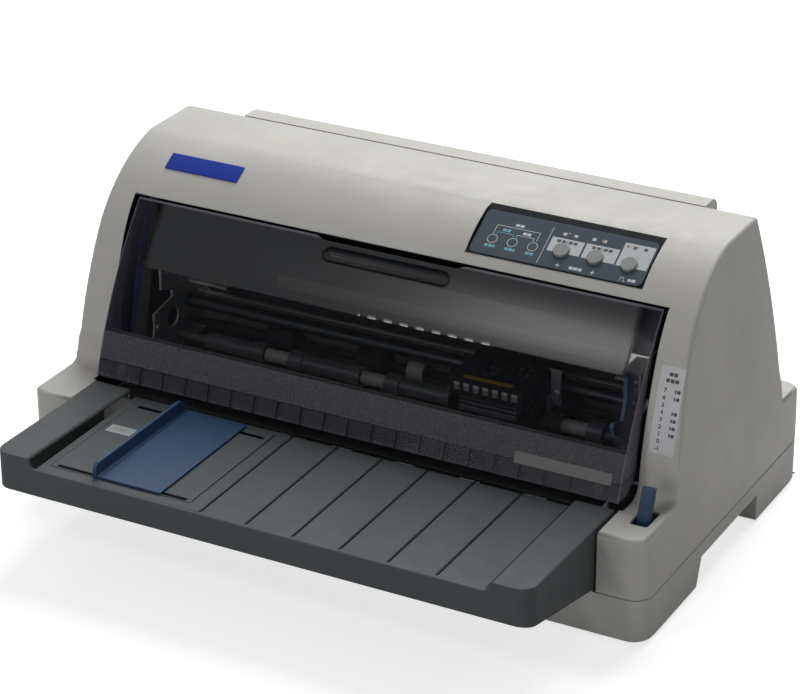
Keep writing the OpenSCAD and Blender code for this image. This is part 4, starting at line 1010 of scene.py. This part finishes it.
class PRINTER_OT_gears(PieceOperator, bpy.types.Operator):
    """Gear train and the feed motor"""
    bl_idname = "printer.gears"
    bl_label = "Gear train"
    nodes = {
        **dict.fromkeys(("gear_front", "gear_platen", "gear_rear", "gear_exit", "idler_front",
                         "idler_middle", "idler_back", "feed_pinion"), (0.00015, 1, 50)),
        **dict.fromkeys(("feed_motor", "carriage_motor"), (0.0006, 3)),
    }


class PRINTER_OT_frames(PieceOperator, bpy.types.Operator):
    """Sheet metal frames, rail and guide shaft with their screws"""
    bl_idname = "printer.frames"
    bl_label = "Frames"

    def build(self):
        edge = sizes().metal_edge
        for node in ("side_frame_left", "side_frame_right", "base_frame", "rear_rail"):
            obj = rounded_node(node, edge, 2)
            if node == "rear_rail":
                obj.data.materials[0] = finish("rail_steel")
            elif node != "base_frame":
                painted(obj, "cut_edge", lambda centre, normal: abs(normal.x) < 0.3)
        rounded_node("guide_shaft", 0.0006, 3)
        rounded_node("paper_guide", 0.0003, 2)
        rounded_node("release_lever", 0.0005, 2)
        places = [((s * 188, y, z), (-s, 0, 0)) for s in (-1, 1) for y, z in
                  ((16, 140), (70, 140), (92, 100), (60, 130), (2, 100), (88, 30))]
        screws("frame_screws", "base_frame", places)


class PRINTER_OT_head(PieceOperator, bpy.types.Operator):
    """Carriage, print head, grille cover, bare yellow label and bracket"""
    bl_idname = "printer.head"
    bl_label = "Print head"

    def build(self):
        rounded_node("carriage_frame", 0.0005, 2)
        rounded_node("print_head", 0.0003, 2)
        cover = merged_copy("head_cover")
        smooth_by_angle(cover.data)
        stand_for(cover, "head_cover")
        rounded_node("head_bracket", 0.0003, 2)
        bm = bmesh.new()
        top = plane((82, 0, 120 + FOOT), (1, 0, 0), (0, 1, 0))
        slab(bm, top, rectangle(-18, 19, -7.2, -2.6, 0.3, 2), -0.02, 0.14)
        ride_with(mesh_object("head_label", bm, "yellow_film"), "head_cover")
        for name, paint, z, tall in (("head_fins", "white_plastic", 114.6, 2.9),
                                     ("head_fins_low", "fin_grey", 111.2, 3.4)):
            bars(name, "head_cover", (4.9, 1.2, tall, 0.15), (59.9, -6.6, z), (7.3, 0, 0), 7, paint)


class PRINTER_OT_belt(PieceOperator, bpy.types.Operator):
    """Drive belt with its teeth, and both pulleys"""
    bl_idname = "printer.belt"
    bl_label = "Belt drive"
    nodes = dict.fromkeys(("drive_belt", "drive_pulley", "return_pulley"), (0.0003, 2))

    def build(self):
        middle, half = 62, 7.25
        for side, y in (("front", middle - half), ("back", middle + half)):
            bars("belt_teeth_" + side, "drive_belt", (1.1, 0.5, 5.6, 0.12), (-166.5, y, 112), (2.5, 0, 0),
                 134, "roller_rubber")


class PRINTER_OT_inside(PieceOperator, bpy.types.Operator):
    """Board with its parts, and the power supply"""
    bl_idname = "printer.inside"
    bl_label = "Board and supply"
    nodes = {"main_board": (0.0002, 1), "power_supply": (0.0006, 2)}

    def build(self):
        for side, x, y, count in (("front", 51.5, 111.6, 13), ("back", 51.5, 124.4, 13),
                                  ("left", 1.5, 119.6, 11), ("right", 1.5, 148.4, 11)):
            bars("chip_legs_" + side, "main_board", (0.8, 1.2, 2.2, 0.1), (x, y, 10.6), (2.5, 0, 0), count,
                 "tin_pins")


class PRINTER_OT_sockets(PieceOperator, bpy.types.Operator):
    """Power inlet with its pins, rocker switch, parallel and usb sockets"""
    bl_idname = "printer.sockets"
    bl_label = "Sockets"
    nodes = dict.fromkeys(("power_inlet", "power_switch", "parallel_port", "usb_port"), (0.0005, 2))

    def build(self):
        bars("inlet_pins", "power_inlet", (1.6, 12, 4.2, 0.3), (-194.5, 174, 49.4), (6.6, 0, 0), 2,
             "tin_pins")
        bars("parallel_contacts", "parallel_port", (0.7, 8, 0.5, 0.1), (101.4, 178, 51), (2.2, 0, 0), 18,
             "tin_pins", rows=2, row_step=(0, 0, 2))


class PRINTER_OT_studio(PieceOperator, bpy.types.Operator):
    """Pale floor, soft lights, white surroundings and the camera"""
    bl_idname = "printer.studio"
    bl_label = "Studio"

    def build(self):
        scene = bpy.context.scene
        settings = scene.printer_studio
        bm = bmesh.new()
        bmesh.ops.create_grid(bm, x_segments=1, y_segments=1, size=6)
        floor = mesh_object("floor", bm)
        paper = Finish("floor_paper")
        paper.use("Base Color", paper.blend(paper.noise(0.8, 2), (0.68, 0.68, 0.685), (0.7, 0.7, 0.7)))
        paper.fix("Roughness", 0.9)
        paper.fix("Emission Color", (1, 1, 1, 1))
        seen = paper.nodes.new("ShaderNodeLightPath").outputs["Is Camera Ray"]
        paper.use("Emission Strength", paper.times(seen, 0.72))
        floor.data.materials.append(paper.material)
        self.light("top_light", settings.key, (-0.15, 1.05, 1.5), (0, 0.02, 0.1), 1.5, 1.1)
        self.light("low_light", settings.low, (-0.2, -1.9, 0.35), (0, 0, 0.08), 1.2, 0.5)
        self.light("front_light", settings.fill, (-0.56, -1.34, 1.4), (0.08, -0.02, 0.15), 0.36, 0.28)
        scene.world = self.white_room(settings.sky)
        camera_data = bpy.data.cameras.new("camera")
        camera_data.lens, camera_data.sensor_width, camera_data.clip_end = settings.lens, 36, 50
        camera = made_object("camera", camera_data)
        place = (0.8872, -1.6071, 1.0096 + FOOT * MM)
        right = Vector((0.87923641, 0.47636418, -0.00452886))
        up = Vector((-0.20321496, 0.38364302, 0.900845))
        back = Vector((0.43086775, -0.79113539, 0.43411724))
        turn = Matrix((right, up, back)).transposed().to_4x4()
        camera.matrix_world = Matrix.Translation(place) @ turn
        scene.camera = camera
        scene.view_settings.view_transform = "Standard"

    @staticmethod
    def white_room(sky):
        """A world that looks white, and lights only by the strength of the sky."""
        world = bpy.data.worlds.new("white_room")
        world.use_nodes = True
        nodes, links = world.node_tree.nodes, world.node_tree.links
        path = nodes.new("ShaderNodeLightPath").outputs
        seen = path["Is Camera Ray"]
        for ray in ("Is Glossy Ray", "Is Transmission Ray"):
            either = nodes.new("ShaderNodeMath")
            either.operation = "MAXIMUM"
            links.new(seen, either.inputs[0])
            links.new(path[ray], either.inputs[1])
            seen = either.outputs[0]
        strength = nodes.new("ShaderNodeMapRange")
        links.new(seen, strength.inputs["Value"])
        strength.inputs["To Min"].default_value = sky
        strength.inputs["To Max"].default_value = 1.0
        nodes["Background"].inputs["Color"].default_value = (1, 1, 1, 1)
        links.new(strength.outputs[0], nodes["Background"].inputs["Strength"])
        return world

    @staticmethod
    def light(name, power, place, target, width, height):
        data = bpy.data.lights.new(name, "AREA")
        data.shape, data.size, data.size_y, data.energy = "RECTANGLE", width, height, power
        lamp = made_object(name, data)
        lamp.location = place
        lamp.rotation_euler = (Vector(target) - Vector(place)).to_track_quat("-Z", "Y").to_euler()


PIECES = tuple(PieceOperator.__subclasses__())  # in the order of this file


class PRINTER_PT_pieces(bpy.types.Panel):
    """Lists the settings and the pieces"""
    bl_idname = "PRINTER_PT_pieces"
    bl_label = "Dot matrix printer"
    bl_space_type = "VIEW_3D"
    bl_region_type = "UI"
    bl_category = "Printer"

    def draw(self, context):
        layout = self.layout
        for name, group in SETTINGS:
            box = layout.box()
            for key in group.__annotations__:
                box.prop(getattr(context.scene, name), key)
        for piece in PIECES:
            layout.operator(piece.bl_idname)


SETTINGS = (
    ("printer_colours", PrinterColours), ("printer_sizes", PrinterSizes), ("printer_studio", StudioSettings))


def register():
    for name, group in SETTINGS:
        bpy.utils.register_class(group)
        setattr(bpy.types.Scene, name, PointerProperty(type=group))
    for cls in (*PIECES, PRINTER_PT_pieces):
        bpy.utils.register_class(cls)


def unregister():
    for cls in reversed((*PIECES, PRINTER_PT_pieces)):
        bpy.utils.unregister_class(cls)
    for name, group in reversed(SETTINGS):
        delattr(bpy.types.Scene, name)
        bpy.utils.unregister_class(group)


def main():
    register()
    for piece in PIECES:
        group, name = piece.bl_idname.split(".")
        getattr(getattr(bpy.ops, group), name)()


if __name__ == "__main__":
    main()
